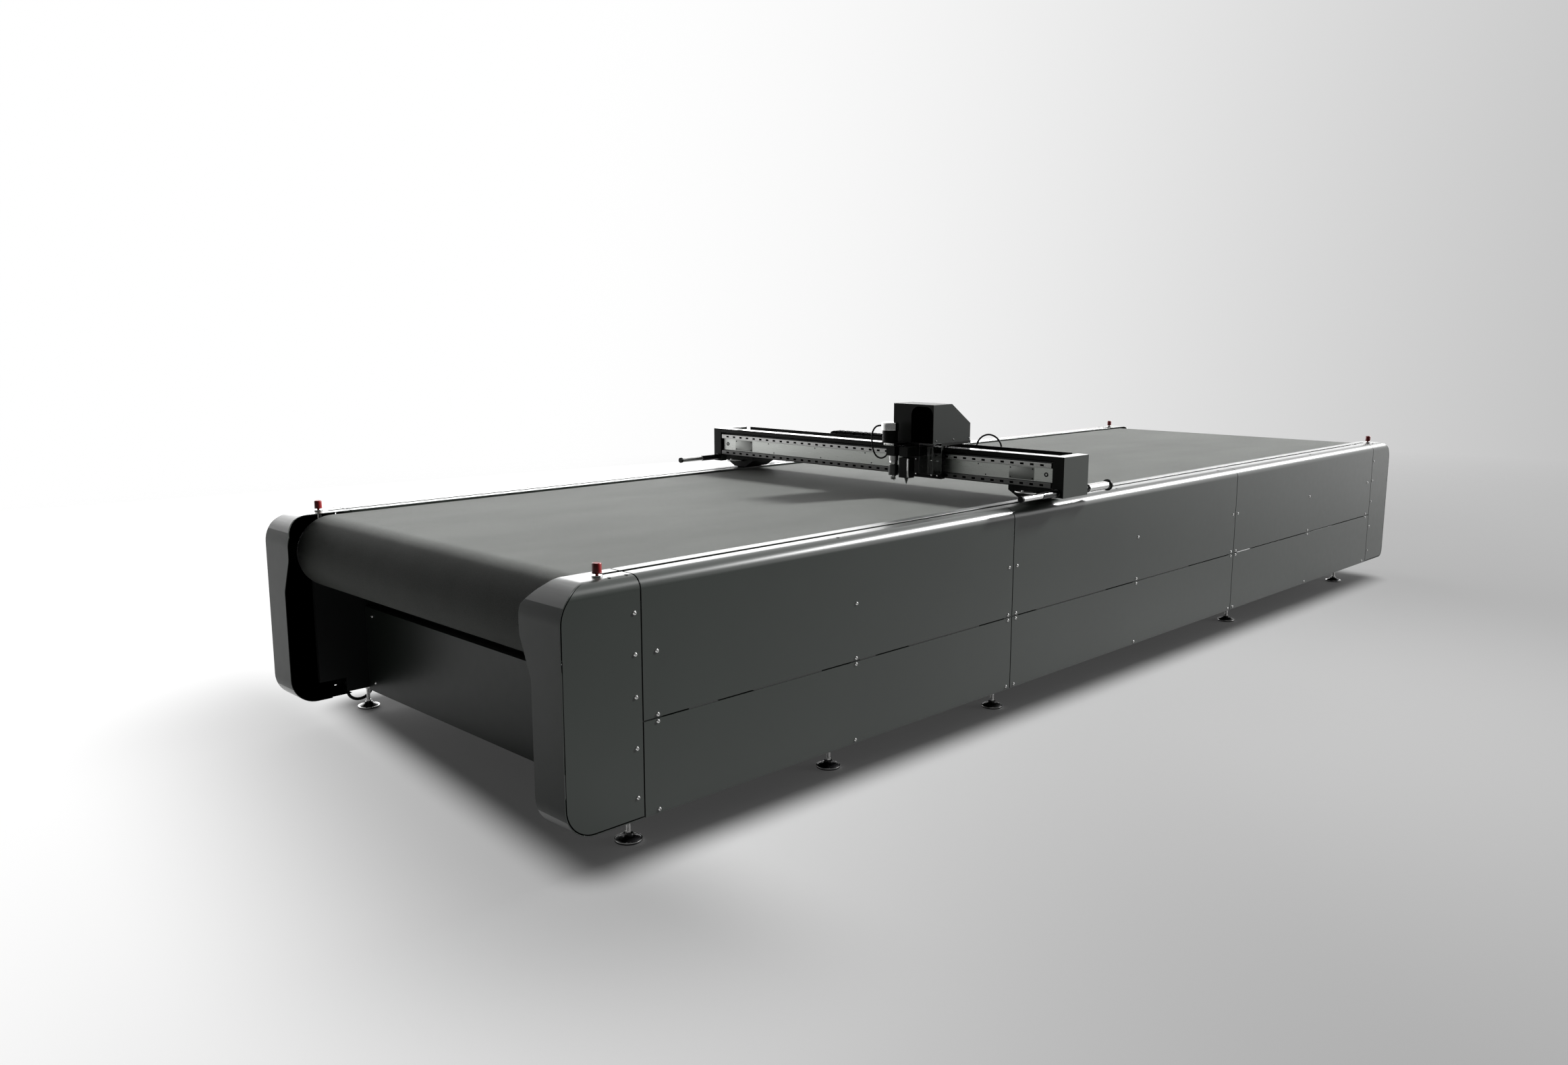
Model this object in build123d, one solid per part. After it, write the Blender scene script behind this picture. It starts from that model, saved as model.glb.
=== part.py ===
from build123d import *
import os
from math import acos, cos, degrees, hypot, pi, radians, sin, tan

# Flatbed conveyor cutting machine. Millimetres, +Z up, floor at Z = 0.
# +X runs along the bed, the near end is at -X. The right side is at -Y, the left side at +Y.

# Body
LENGTH = 6460.0
WIDTH = 2010.0
TOP = 850.0
UNDERSIDE = 95.0
SHEET = 3.0
CAP_LENGTH = 290.0
MIDDLE_SECTION = 2030.0
SEAM_HEIGHT = 400.0
PANEL_GAP = 5.0
EDGE_RADIUS = 45.0
PANEL_RETURN = 20.0
SLOT_FLANGE = 15.0

# Slots in the top covers that the gantry brackets pass through
SLOT_Y = 910.0
SLOT_WIDTH = 20.0
SLOT_END_TO_STOP = 30.0

# End caps
CAP_TOP_RADIUS = 110.0
NEAR_BOTTOM_RADIUS = 105.0
FAR_BOTTOM_RADIUS = 45.0
CAP_SEAM_GAP = 4.0
CAP_BOTTOM_FLANGE = 20.0
CAP_BOTTOM_RETURN = 165.0
CAP_LIP_WIDTH = 207.0
CAP_FOOT_WIDTH = 152.0
LIP_SHOULDER_DROP = 75.0
LIP_SHOULDER_START = 12.0
LIP_BEND_TOP = 690.0
LIP_BEND_BOTTOM = 560.0
LIP_BEND_RADIUS = 60.0
LIP_SHOULDER_RADIUS = 20.0

# Conveyor belt and rollers
BELT_WIDTH = 1676.0
BELT_THICKNESS = 5.0
BELT_DROP = 7.0
BELT_CLEAR = 0.3
ROLLER_RADIUS = 137.0
ROLLER_SETBACK = 195.0
ROLLER_WALL = 8.0
ROLLER_DISC = 15.0
ROLLER_SIDE_CLEAR = 8.0
DISC_HOLE_RADIUS = 22.0
DISC_HOLE_PITCH_RADIUS = 72.0
SHAFT_RADIUS = 25.0
SHAFT_CLEAR = 0.05
SHAFT_PAST_BEARING = 4.0

# Strip between belt and slot
STRIP_GAP = 20.0
STRIP_WEB_SEAT = 35.0

# Welded frame
FRAME_WALL = 4.0
RAIL_BEAM_HEIGHT = 100.0
RAIL_BEAM_TOP = 720.0
RAIL_BEAM_LENGTH = 5540.0
BOTTOM_RAIL_HEIGHT = 60.0
BOTTOM_RAIL_LENGTH = 6000.0
BOTTOM_RAIL_LIFT = 10.0
POST_WIDTH = 50.0
SEAM_POST_WIDTH = 100.0
PANEL_POST_TOP = 690.0
CAP_POST_TOP = 760.0
POST_MARGIN = 14.0
CROSS_SECTION = 60.0
END_BEAM_TOP = 445.0
BEARING_PLATE = 16.0
BEARING_PLATE_TOP = 800.0
BEARING_PLATE_PAST_AXIS = 75.0
SHAFT_HOLE_RADIUS = 30.0

# End panels between the caps
END_PANEL_X = 2905.0
END_PANEL_SIDE_GAP = 3.0
END_PANEL_RETURN = 25.0
END_SCREW_INSET = 60.0

# Panel screws: button heads in columns
SCREW_HEAD_RADIUS = 6.5
SCREW_HEAD_HEIGHT = 4.0
SCREW_HEAD_RIM = 1.8
SCREW_CROWN_RADIUS = 4.2
SCREW_RADIUS = 4.0
SCREW_LENGTH = 28.0
SCREW_HOLE_CLEAR = 0.5
THREAD_CLEAR = 0.1
CAP_COLUMN = 25.0
PANEL_END_COLUMN = 57.0
SEAM_COLUMN = 28.0
UPPER_ROW = 610.0
SEAM_ROW = 11.0
LOWER_ROW = 12.0
CAP_ROWS = (740.0, 614.0, 482.0, 322.0, 166.0)

# Levelling feet
FOOT_Y = 926.0
FOOT_STATIONS_RIGHT = (-2945.0, -2035.0, -1025.0, 1150.0, 2645.0)
FOOT_STATIONS_LEFT = (-2880.0, -2035.0, -1025.0, 1150.0, 2645.0)
PAD_RADIUS = 44.0
PAD_RIM = 8.0
PAD_NECK_RADIUS = 15.0
PAD_HEIGHT = 26.0
STEM_RADIUS = 8.0
STEM_IN_RAIL = 30.0
NUT_FLATS = 24.0
NUT_HEIGHT = 13.0

# Emergency stop buttons
STOP_X = 3042.0
STOP_Y = 930.0
STOP_RADIUS = 15.0
STOP_HEAD = 32.0
STOP_TRAVEL = 4.0
STOP_COLLAR_RADIUS = 16.0
STOP_COLLAR = 5.0
STOP_BODY_RADIUS = 11.0
STOP_BODY = 45.0
STOP_STEM_RADIUS = 5.0
STOP_STEM_DEPTH = 30.0
STOP_SPARE = 1.0
PLUNGER_CLEAR = 0.08

# Vacuum bed, blower and duct
BED_WALL = 10.0
BED_LENGTH = 5760.0
BED_SIDE_GAP = 6.0
DUCT_RADIUS = 36.0
DUCT_WALL = 2.0
DUCT_BEND = 45.0
DUCT_X = 2815.0
DUCT_OUT_Y = 925.0
DUCT_TOP_Z = 760.0
DUCT_LOW_Z = 290.0
DUCT_HOLE_CLEAR = 0.5
BLOWER_FACE_Y = 640.0
BLOWER_DEPTH = 200.0
BLOWER_HALF = 130.0
BLOWER_TOP = 375.0
BLOWER_MOTOR_RADIUS = 80.0
BLOWER_MOTOR = 280.0
BLOWER_RAIL = 40.0
BLOWER_RAIL_SPREAD = 150.0

# Control cabinet on the lower cross members
CABINET_WIDTH = 520.0
CABINET_HEIGHT = 340.0
CABINET_DOOR = 18.0

# Roller bearings and belt gearmotor
BEARING_FLANGE = 110.0
BEARING_FLANGE_THICK = 14.0
BEARING_BOSS_RADIUS = 42.0
BEARING_LENGTH = 38.0
GEARBOX_HALF = 52.0
GEARBOX_TOP = 60.0
GEARBOX_BOTTOM = 90.0
GEARBOX_SIDE_GAP = 10.0
ADAPTOR_HEIGHT = 60.0
DRIVE_MOTOR_RADIUS = 50.0
DRIVE_MOTOR_LENGTH = 260.0

# Gantry guide rails, blocks, racks and pinions
GUIDE_WIDTH = 20.0
GUIDE_HEIGHT = 17.5
GUIDE_END_GAP = 5.0
BLOCK_WIDTH = 44.0
BLOCK_LENGTH = 70.0
BLOCK_HEIGHT = 30.0
BLOCK_LIFT = 4.5
BLOCK_CLEAR = 0.3
BLOCK_SPREAD = 55.0
PRESSURE_ANGLE = radians(20.0)
PINION_TEETH = 12
PINION_ADDENDUM = 0.8
RACK_ADDENDUM = 0.65
TOOTH_CLEAR = 0.15
BACKLASH = 0.25
FLANK_STEPS = 4
DRIVE_MODULE = 4.0
DRIVE_RACK_BACK_Y = 934.0
DRIVE_RACK_DEPTH = 12.0
DRIVE_RACK_WIDTH = 20.0
HEAD_MODULE = 3.0
HEAD_RACK_DEPTH = 15.0
HEAD_RACK_WIDTH = 9.0
PINION_SHAFT_RADIUS = 6.0
PINION_SHAFT_HOLE = 9.0
PINION_SEAT = 0.3

# Gantry: beam across the bed
GANTRY_X = -690.0
BEAM_DEPTH = 190.0
BEAM_BOTTOM = 906.0
BEAM_TOP = 1046.0
BEAM_HALF_LENGTH = 1082.0
BEAM_WALL = 8.0
BEAM_FACE_SETBACK = 18.0
END_BOX_WIDTH = 55.0
END_BOX_BOTTOM = 874.0
COVER_LIP = 20.0
COVER_DEPTH = 56.0
COVER_RISE = 24.0
HEAD_RAIL_END_GAP = 7.0
UPPER_RAIL_Z = 1006.0
LOWER_RAIL_Z = 922.0
FRONT_PANEL_GAP = 2.0
BRACKET_PLATE = 12.0
BRACKET_HALF = 95.0
BRACKET_REACH_OUT = 82.0
BRACKET_REACH_IN = 30.0
SADDLE_HALF = 80.0
SADDLE_INNER_Y = 800.0
SADDLE_OUTER_Y = 1000.0
SADDLE_EDGE = 20.0
SADDLE_RISE = 3.0
SADDLE_FOOT_IN = 52.0
SADDLE_FOOT_OUT = 26.0
DRIVE_MOTOR_SQUARE = 50.0
DRIVE_MOTOR_HEIGHT = 56.0

# Bumper rods at the beam ends
BUMPER_Y = 1052.0
BUMPER_Z = 894.0
BUMPER_ROD_RADIUS = 12.0
BUMPER_SLEEVE_RADIUS = 14.0
BUMPER_FLANGE_RADIUS = 18.0
BUMPER_FLANGE = 5.0
BUMPER_FRONT_REACH = 265.0
BUMPER_TIP = 12.0
BUMPER_TIP_RADIUS = 13.5
BUMPER_REAR_REACH = 230.0
BUMPER_TUBE_RADIUS = 18.0
BUMPER_RING_RADIUS = 25.0
BUMPER_RING = 10.0
BUMPER_END_CAP = 12.0
BUMPER_STOP_GAP = 0.5
BUMPER_TRAVEL = 20.0
BUMPER_FRONT_SLEEVE = 115.0
BUMPER_REAR_SLEEVE = 25.0
BUMPER_SLEEVE_IN_BOX = 60.0
BUMPER_ROD_IN_SLEEVE = 60.0
SLEEVE_HOLE_CLEAR = 0.1

# Energy chain and its tray
CHAIN_WIDTH = 50.0
CHAIN_HEIGHT = 28.0
CHAIN_LINK = 30.0
CHAIN_LINK_GAP = 0.5
CHAIN_BEND_LINK = 25.0
CHAIN_LIFT = 2.5
CHAIN_WALL = 4.0
CHAIN_BEND = 45.0
CHAIN_FIXED_Y = 0.0
CHAIN_LOOP_Y = 383.0
TRAY_LEG = 110.0
TRAY_Z = 937.0
TRAY_HALF_LENGTH = 1000.0
TRAY_SIDE_GAP = 5.0
TRAY_HOSE_SHELF = 24.0
HOSE_FITTING_RADIUS = 8.0

# Cutting head
HEAD_Y = -362.0
HOUSING_WIDTH = 228.0
HOUSING_SHIFT = 12.0
HOUSING_FRONT = 178.0
HOUSING_REAR = 94.0
HOUSING_BOTTOM = 1066.0
HOUSING_TOP = 1238.0
HOUSING_CHAMFER_DEPTH = 139.0
HOUSING_CHAMFER_DROP = 92.0
RECESS_DEPTH = 12.0
RECESS_RIM = 3.0
RECESS_SPLIT = 23.0
RECESS_TOP_GAP = 10.0
RECESS_RADIUS = 40.0
CARRIAGE_PLATE = 12.0
CARRIAGE_HALF_WIDTH = 105.0
CARRIAGE_BOTTOM = 905.0
HEAD_BLOCK_WIDTH = 36.0
HEAD_BLOCK_SPREAD = 62.0
GUARD_SHEET = 3.0
GUARD_WIDTH = 82.0
GUARD_BOTTOM = 930.0
GUARD_RETURN = 55.0
TOOL_X = -235.0
KNIFE_Y = 75.0
KNIFE_MOTOR_SHIFT = 23.0
KNIFE_MOTOR_RADIUS = 36.0
KNIFE_MOTOR_HEIGHT = 90.0
KNIFE_CAP_RADIUS = 40.0
KNIFE_CAP_HEIGHT = 36.0
TONGUE_FRONT = 40.0
TONGUE_RIGHT = 32.0
TONGUE_LEFT = 59.0
HEAD_DRIVE_SQUARE = 50.0
HEAD_DRIVE_HEIGHT = 78.0
ARM_TOP = 1050.0
ARM_HEIGHT = 42.0
ARM_HALF = 24.0
ARM_BUSH_RADIUS = 21.0
ARM_BUSH = 23.0
QUILL_RADIUS = 15.0
QUILL_TOP = 1053.0
QUILL_BOTTOM = 967.0
HOLDER_RADIUS = 23.0
HOLDER_HEIGHT = 47.0
BLADE_SHANK_RADIUS = 5.0
BLADE_SHANK_UP = 14.0
BLADE_COLLAR_RADIUS = 9.0
BLADE_COLLAR = 8.0
BLADE_TIP_Z = 893.0
BLADE_WIDTH = 11.0
BLADE_THICK = 2.0
TOOL_BODY_WIDTH = 54.0
TOOL_BODY_DEPTH = 44.0
TOOL_BODY_BOTTOM = 914.0
TOOL_BODY_TOP = 1004.0
TOOL_SHAFT_RADIUS = 12.0
TOOL_SHAFT_TOP = 1053.0
TOOL_TIP_Z = 886.0
TOOL_TIP_RADIUS = 1.5
TOOL_NOSE_RADIUS = 10.0
CHAIN_TAB_WIDTH = 40.0

# Cords: radius of each and the points that they follow
HEAD_CABLE_RADIUS = 4.0
HOSE_RADIUS = 4.0
SUPPLY_RADIUS = 6.5
SIGNAL_RADIUS = 3.5
GLAND_RADIUS = 10.5
GLAND_END = 7.0
GLAND_CLEAR = 0.3
GLAND_HEIGHT = 14.0
ARC_SHARE = 0.45
SUPPLY_POINTS = (
    (-2965.0, 944.0, 119.0), (-2965.0, 944.0, 71.7), (-2931.3, 944.0, 38.0), (-2883.7, 944.0, 38.0),
    (-2850.0, 944.0, 71.7), (-2850.0, 944.0, 119.0))
SIGNAL_POINTS = (
    (-2828.0, 905.0, 112.0), (-2828.0, 905.0, 78.0), (-2803.0, 905.0, 54.0), (-2764.0, 905.0, 48.0),
    (-2725.0, 905.0, 54.0), (-2700.0, 905.0, 78.0), (-2700.0, 905.0, 112.0))
HEAD_CABLE_POINTS = (
    (-925.0, -224.0, 1139.0), (-925.0, -193.0, 1139.0), (-925.0, -167.0, 1122.0), (-925.0, -155.4, 1093.4),
    (-925.0, -157.1, 1060.4), (-925.0, -163.0, 1027.0), (-925.0, -179.3, 998.9), (-925.0, -209.8, 987.8),
    (-925.0, -240.3, 998.9), (-925.0, -256.6, 1027.0), (-925.0, -256.6, 1054.0))
HOSE_POINTS = (
    (-525.0, -447.0, 995.0), (-525.0, -447.0, 1041.7), (-525.0, -474.9, 1080.1), (-525.0, -520.0, 1094.8),
    (-525.0, -565.1, 1080.1), (-525.0, -593.0, 1041.7), (-525.0, -593.0, 995.0))

# Positions worked out from the sizes above
HALF_L = LENGTH / 2
HOSE_FITTING_TOP = HOSE_POINTS[0][2]
HALF_W = WIDTH / 2
INNER_W = HALF_W - SHEET
CAP_SEAM = HALF_L - CAP_LENGTH
MID_SEAM = MIDDLE_SECTION / 2
SLOT_IN = SLOT_Y - SLOT_WIDTH / 2
SLOT_OUT = SLOT_Y + SLOT_WIDTH / 2
BELT_HALF = BELT_WIDTH / 2
STRIP_EDGE = BELT_HALF + STRIP_GAP
FRAME_IN = STRIP_EDGE + SHEET
FRAME_OUT = 2 * SLOT_Y - FRAME_IN
PLATE_OUT = FRAME_IN + BEARING_PLATE
BELT_TOP = TOP - BELT_DROP
ROLLER_X = HALF_L - ROLLER_SETBACK
ROLLER_WRAP = ROLLER_RADIUS + BELT_CLEAR
ROLLER_Z = BELT_TOP - BELT_THICKNESS - ROLLER_WRAP
RAIL_BEAM_END = RAIL_BEAM_LENGTH / 2
RAIL_BEAM_BOTTOM = RAIL_BEAM_TOP - RAIL_BEAM_HEIGHT
BOTTOM_RAIL_END = BOTTOM_RAIL_LENGTH / 2
BOTTOM_RAIL_LOW = UNDERSIDE + BOTTOM_RAIL_LIFT
BOTTOM_RAIL_TOP = BOTTOM_RAIL_LOW + BOTTOM_RAIL_HEIGHT
CROSS_BOTTOM = RAIL_BEAM_BOTTOM
CROSS_TOP = CROSS_BOTTOM + CROSS_SECTION
SECTION_MIDDLE = (MID_SEAM + CAP_SEAM) / 2
PLATE_END = ROLLER_X + BEARING_PLATE_PAST_AXIS
END_BEAM_X = END_PANEL_X - SHEET - CROSS_SECTION / 2
CROSS_END_X = RAIL_BEAM_END - CROSS_SECTION / 2
GUIDE_END = RAIL_BEAM_END - GUIDE_END_GAP
DRIVE_PLATE_LOW = RAIL_BEAM_TOP + BLOCK_HEIGHT
DRIVE_PLATE_HIGH = DRIVE_PLATE_LOW + BRACKET_PLATE
DRIVE_RACK_PITCH_Y = DRIVE_RACK_BACK_Y + DRIVE_RACK_DEPTH
DRIVE_PINION_RADIUS = DRIVE_MODULE * PINION_TEETH / 2
DRIVE_PINION_Y = DRIVE_RACK_PITCH_Y + DRIVE_PINION_RADIUS
BEAM_FRONT = GANTRY_X - BEAM_DEPTH / 2
BEAM_REAR = GANTRY_X + BEAM_DEPTH / 2
BEAM_FACE = BEAM_FRONT + BEAM_FACE_SETBACK
BEAM_CORE_TOP = BEAM_TOP - COVER_RISE
BEAM_CORE_HALF = BEAM_HALF_LENGTH - END_BOX_WIDTH
RAIL_FRONT = BEAM_FACE - GUIDE_HEIGHT
HEAD_RAIL_HALF = BEAM_CORE_HALF - HEAD_RAIL_END_GAP
CARRIAGE_BACK = BEAM_FACE - BLOCK_HEIGHT
CARRIAGE_FRONT = CARRIAGE_BACK - CARRIAGE_PLATE
DECK_LOW = HOUSING_BOTTOM - CARRIAGE_PLATE
HOUSING_FRONT_X = GANTRY_X - HOUSING_FRONT
HOUSING_REAR_X = GANTRY_X + HOUSING_REAR
HOUSING_LOW_Y = HEAD_Y + HOUSING_SHIFT - HOUSING_WIDTH / 2
HOUSING_HIGH_Y = HOUSING_LOW_Y + HOUSING_WIDTH
HEAD_PINION_RADIUS = HEAD_MODULE * PINION_TEETH / 2
HEAD_RACK_PITCH_X = BEAM_REAR - HEAD_RACK_DEPTH
HEAD_PINION_X = HEAD_RACK_PITCH_X - HEAD_PINION_RADIUS
TOOL_AXIS_X = GANTRY_X + TOOL_X
KNIFE_AXIS_Y = HEAD_Y + KNIFE_Y
ARM_LOW = ARM_TOP - ARM_HEIGHT
CHAIN_X = BEAM_REAR + SHEET + TRAY_SIDE_GAP + CHAIN_WIDTH / 2
CHAIN_LOW_Z = TRAY_Z + SHEET + CHAIN_HEIGHT / 2 + CHAIN_LIFT
CHAIN_HIGH_Z = CHAIN_LOW_Z + 2 * CHAIN_BEND


def block(x, y, z):
    """Box between the low and high value of each axis."""
    centre = Pos(sum(x) / 2, sum(y) / 2, sum(z) / 2)
    return centre * Box(x[1] - x[0], y[1] - y[0], z[1] - z[0])


def bar(axis, centre, radius, span):
    """Round bar along an axis, with its centre on the other two axes and its two ends."""
    middle = sum(span) / 2
    length = span[1] - span[0]
    if axis == "X":
        return Pos(middle, *centre) * Rot(0, 90, 0) * Cylinder(radius, length)
    if axis == "Y":
        return Pos(centre[0], middle, centre[1]) * Rot(90, 0, 0) * Cylinder(radius, length)
    return Pos(*centre, middle) * Cylinder(radius, length)


def around(value, half):
    """Low and high value at the same distance from a middle."""
    return (value - half, value + half)


def tube(x, y, z, along):
    """Hollow rectangular frame tube, open at its two ends along one axis."""
    spans = {"X": x, "Y": y, "Z": z}
    bore = {}
    for axis, span in spans.items():
        wall = 0.0 if axis == along else FRAME_WALL
        bore[axis] = (span[0] + wall, span[1] - wall)
    return block(x, y, z) - block(bore["X"], bore["Y"], bore["Z"])


def other_side(solid):
    """Mirror image on the other long side."""
    return mirror(solid, about=Plane.XZ)


def other_end(solid):
    """Mirror image at the other end."""
    return mirror(solid, about=Plane.YZ)


def both_sides(solids):
    return [*solids, *(other_side(solid) for solid in solids)]


def both_ends(solids):
    return [*solids, *(other_end(solid) for solid in solids)]


def prism_yz(points, x):
    """Straight prism along X from an outline in the YZ plane."""
    outline = make_face(Polyline(*points, close=True))
    return Pos(x[0], 0, 0) * extrude(Plane.YZ * outline, amount=x[1] - x[0])


def prism_xz(outline, y):
    """Straight prism along Y from a face in the XZ plane."""
    return Pos(0, y[1], 0) * extrude(Plane.XZ * outline, amount=y[1] - y[0])


def save(node, solids):
    """Write the solids of one node to its own file."""
    pieces = []
    for shape in solids:
        pieces.extend(shape.solids())
    export_step(Compound(label=node, children=pieces), os.path.join("parts", node + ".step"))


# Screw columns of the left side


def panel_sections():
    """X range of each of the three panels on a side."""
    gap = PANEL_GAP / 2
    seams = (-CAP_SEAM, -MID_SEAM, MID_SEAM, CAP_SEAM)
    return [(start + gap, end - gap) for start, end in zip(seams, seams[1:])]


def panel_columns():
    """X of each screw column of the side panels."""
    far = (MID_SEAM + SEAM_COLUMN, SECTION_MIDDLE, CAP_SEAM - PANEL_END_COLUMN)
    middle = MID_SEAM - SEAM_COLUMN
    return [*(-x for x in reversed(far)), -middle, 0.0, middle, *far]


def upper_screws():
    """X and Z of the screws of the upper panels."""
    return [(x, z) for x in panel_columns() for z in (UPPER_ROW, SEAM_HEIGHT + SEAM_ROW)]


def lower_screws():
    """X and Z of the screws of the lower panels."""
    return [(x, z) for x in panel_columns() for z in (SEAM_HEIGHT - SEAM_ROW, UNDERSIDE + LOWER_ROW)]


def cap_screws():
    """X and Z of the screws of the cap side plates."""
    return [(end * (CAP_SEAM + CAP_COLUMN), z) for end in (-1, 1) for z in CAP_ROWS]


def end_screws():
    """Y and Z of the screws of an end panel."""
    reach = FRAME_IN - END_SCREW_INSET
    rows = (END_BEAM_TOP - CROSS_SECTION / 2, BOTTOM_RAIL_LOW + CROSS_SECTION / 2)
    return [(side * reach, z) for side in (-1, 1) for z in rows]


def drill_side(solid, places, radius, depth):
    """Holes along Y into the left side at the given X and Z."""
    span = (HALF_W - depth, HALF_W + SHEET)
    return solid - [bar("Y", place, radius, span) for place in places]


def in_range(places, span):
    return [place for place in places if span[0] < place[0] < span[1]]


# Frame


def post_stations():
    """X range of each panel post of the left side, with its height."""
    columns = panel_columns()
    cap_post = (columns[-1] - POST_MARGIN - SCREW_HEAD_RADIUS, CAP_SEAM + CAP_COLUMN + POST_MARGIN)
    seam_post = around(MID_SEAM, SEAM_POST_WIDTH / 2)
    middle_post = around(SECTION_MIDDLE, POST_WIDTH / 2)
    far = [(seam_post, PANEL_POST_TOP), (middle_post, PANEL_POST_TOP), (cap_post, CAP_POST_TOP)]
    near = [((-span[1], -span[0]), top) for span, top in far]
    return [*near, (around(0.0, POST_WIDTH / 2), PANEL_POST_TOP), *far]


def inner_posts():
    """Posts between the bottom rail and the rail beam of the left side."""
    end = (RAIL_BEAM_END - POST_WIDTH, RAIL_BEAM_END)
    spans = [around(0.0, POST_WIDTH / 2), end, (-end[1], -end[0])]
    for station in (MID_SEAM, SECTION_MIDDLE):
        spans.extend((around(station, POST_WIDTH / 2), around(-station, POST_WIDTH / 2)))
    return [tube(span, (FRAME_IN, FRAME_OUT), (BOTTOM_RAIL_TOP, RAIL_BEAM_BOTTOM), "Z") for span in spans]


def bottom_rail(foot_stations, with_glands):
    """Lower frame tube of the left side, with a hole for each foot stem and cable gland."""
    rail = tube(around(0.0, BOTTOM_RAIL_END), (FRAME_IN, FRAME_OUT), (BOTTOM_RAIL_LOW, BOTTOM_RAIL_TOP), "X")
    wall = (BOTTOM_RAIL_LOW - FRAME_WALL, BOTTOM_RAIL_LOW + 2 * FRAME_WALL)
    holes = [bar("Z", (x, FOOT_Y), STEM_RADIUS + THREAD_CLEAR, wall) for x in foot_stations]
    if with_glands:
        holes.extend(bar("Z", end[:2], GLAND_RADIUS + THREAD_CLEAR, wall) for end, _ in gland_places())
    return rail - holes


def bearing_plate(with_duct):
    """Plate that carries a roller at the far left corner."""
    plate = block((RAIL_BEAM_END, PLATE_END), (FRAME_IN, PLATE_OUT), (BOTTOM_RAIL_TOP, BEARING_PLATE_TOP))
    span = around((FRAME_IN + PLATE_OUT) / 2, BEARING_PLATE)
    holes = [bar("Y", (ROLLER_X, ROLLER_Z), SHAFT_HOLE_RADIUS, span)]
    if with_duct:
        for z in (DUCT_TOP_Z, DUCT_LOW_Z):
            holes.append(bar("Y", (DUCT_X, z), DUCT_RADIUS + DUCT_HOLE_CLEAR, span))
    return plate - holes


def side_frame(foot_stations, with_services):
    """Rails, posts and bearing plates of the left side."""
    rail_beam = tube(
        around(0.0, RAIL_BEAM_END), (FRAME_IN, FRAME_OUT), (RAIL_BEAM_BOTTOM, RAIL_BEAM_TOP), "X")
    solids = [rail_beam, bottom_rail(foot_stations, with_services), *inner_posts()]
    places = [*upper_screws(), *lower_screws(), *cap_screws()]
    for span, top in post_stations():
        post = block(span, (FRAME_OUT, INNER_W), (BOTTOM_RAIL_LOW - LOWER_ROW / 2, top))
        depth = SHEET + SCREW_LENGTH
        solids.append(drill_side(post, in_range(places, span), SCREW_RADIUS + THREAD_CLEAR, depth))
    solids.append(bearing_plate(with_services))
    solids.append(other_end(bearing_plate(False)))
    return solids


def cross_members():
    """Tubes across the machine: under the bed, at the floor level and behind the end panels."""
    across = (-FRAME_IN, FRAME_IN)
    solids = []
    half = CROSS_SECTION / 2
    for x in (-CROSS_END_X, -SECTION_MIDDLE, -MID_SEAM, 0.0, MID_SEAM, SECTION_MIDDLE, CROSS_END_X):
        solids.append(tube(around(x, half), across, (CROSS_BOTTOM, CROSS_TOP), "Y"))
    for x in (-SECTION_MIDDLE, -MID_SEAM, 0.0, MID_SEAM, SECTION_MIDDLE):
        solids.append(tube(around(x, half), across, (BOTTOM_RAIL_LOW, BOTTOM_RAIL_TOP), "Y"))
    thread = SCREW_RADIUS + THREAD_CLEAR
    face = END_BEAM_X + half
    for low in (BOTTOM_RAIL_LOW, END_BEAM_TOP - CROSS_SECTION):
        beam = tube(around(END_BEAM_X, half), across, (low, low + CROSS_SECTION), "Y")
        rows = [place for place in end_screws() if low < place[1] < low + CROSS_SECTION]
        drilled = beam - [bar("X", place, thread, around(face, 2 * FRAME_WALL)) for place in rows]
        solids.extend((drilled, other_end(drilled)))
    return solids


# Panels and caps


def upper_panel(span):
    """Upper side panel: wall, rounded edge, top cover and slot flange, on the left side."""
    low = SEAM_HEIGHT + PANEL_GAP / 2
    shoulder = HALF_W - EDGE_RADIUS
    path = FilletPolyline(
        (HALF_W, low), (HALF_W, TOP), (SLOT_OUT, TOP), (SLOT_OUT, TOP - SLOT_FLANGE),
        radius=[EDGE_RADIUS, SHEET])
    inner = FilletPolyline(
        (INNER_W, low), (INNER_W, TOP - SHEET), (SLOT_OUT + SHEET, TOP - SHEET),
        (SLOT_OUT + SHEET, TOP - SLOT_FLANGE),
        radius=[EDGE_RADIUS - SHEET, SHEET])
    ends = [Line(path @ 0, inner @ 0), Line(path @ 1, inner @ 1)]
    outline = make_face([*path.edges(), *inner.edges(), *ends])
    panel = Pos(span[0], 0, 0) * extrude(Plane.YZ * outline, amount=span[1] - span[0])
    hole = SCREW_RADIUS + SCREW_HOLE_CLEAR
    return drill_side(panel, in_range(upper_screws(), span), hole, HALF_W - shoulder)


def lower_panel(span):
    """Lower side panel with a return at its bottom edge, on the left side."""
    high = SEAM_HEIGHT - PANEL_GAP / 2
    wall = block(span, (INNER_W, HALF_W), (UNDERSIDE, high))
    foot = block(span, (HALF_W - PANEL_RETURN, HALF_W), (UNDERSIDE, UNDERSIDE + SHEET))
    hole = SCREW_RADIUS + SCREW_HOLE_CLEAR
    return drill_side(wall + foot, in_range(lower_screws(), span), hole, EDGE_RADIUS)


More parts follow.
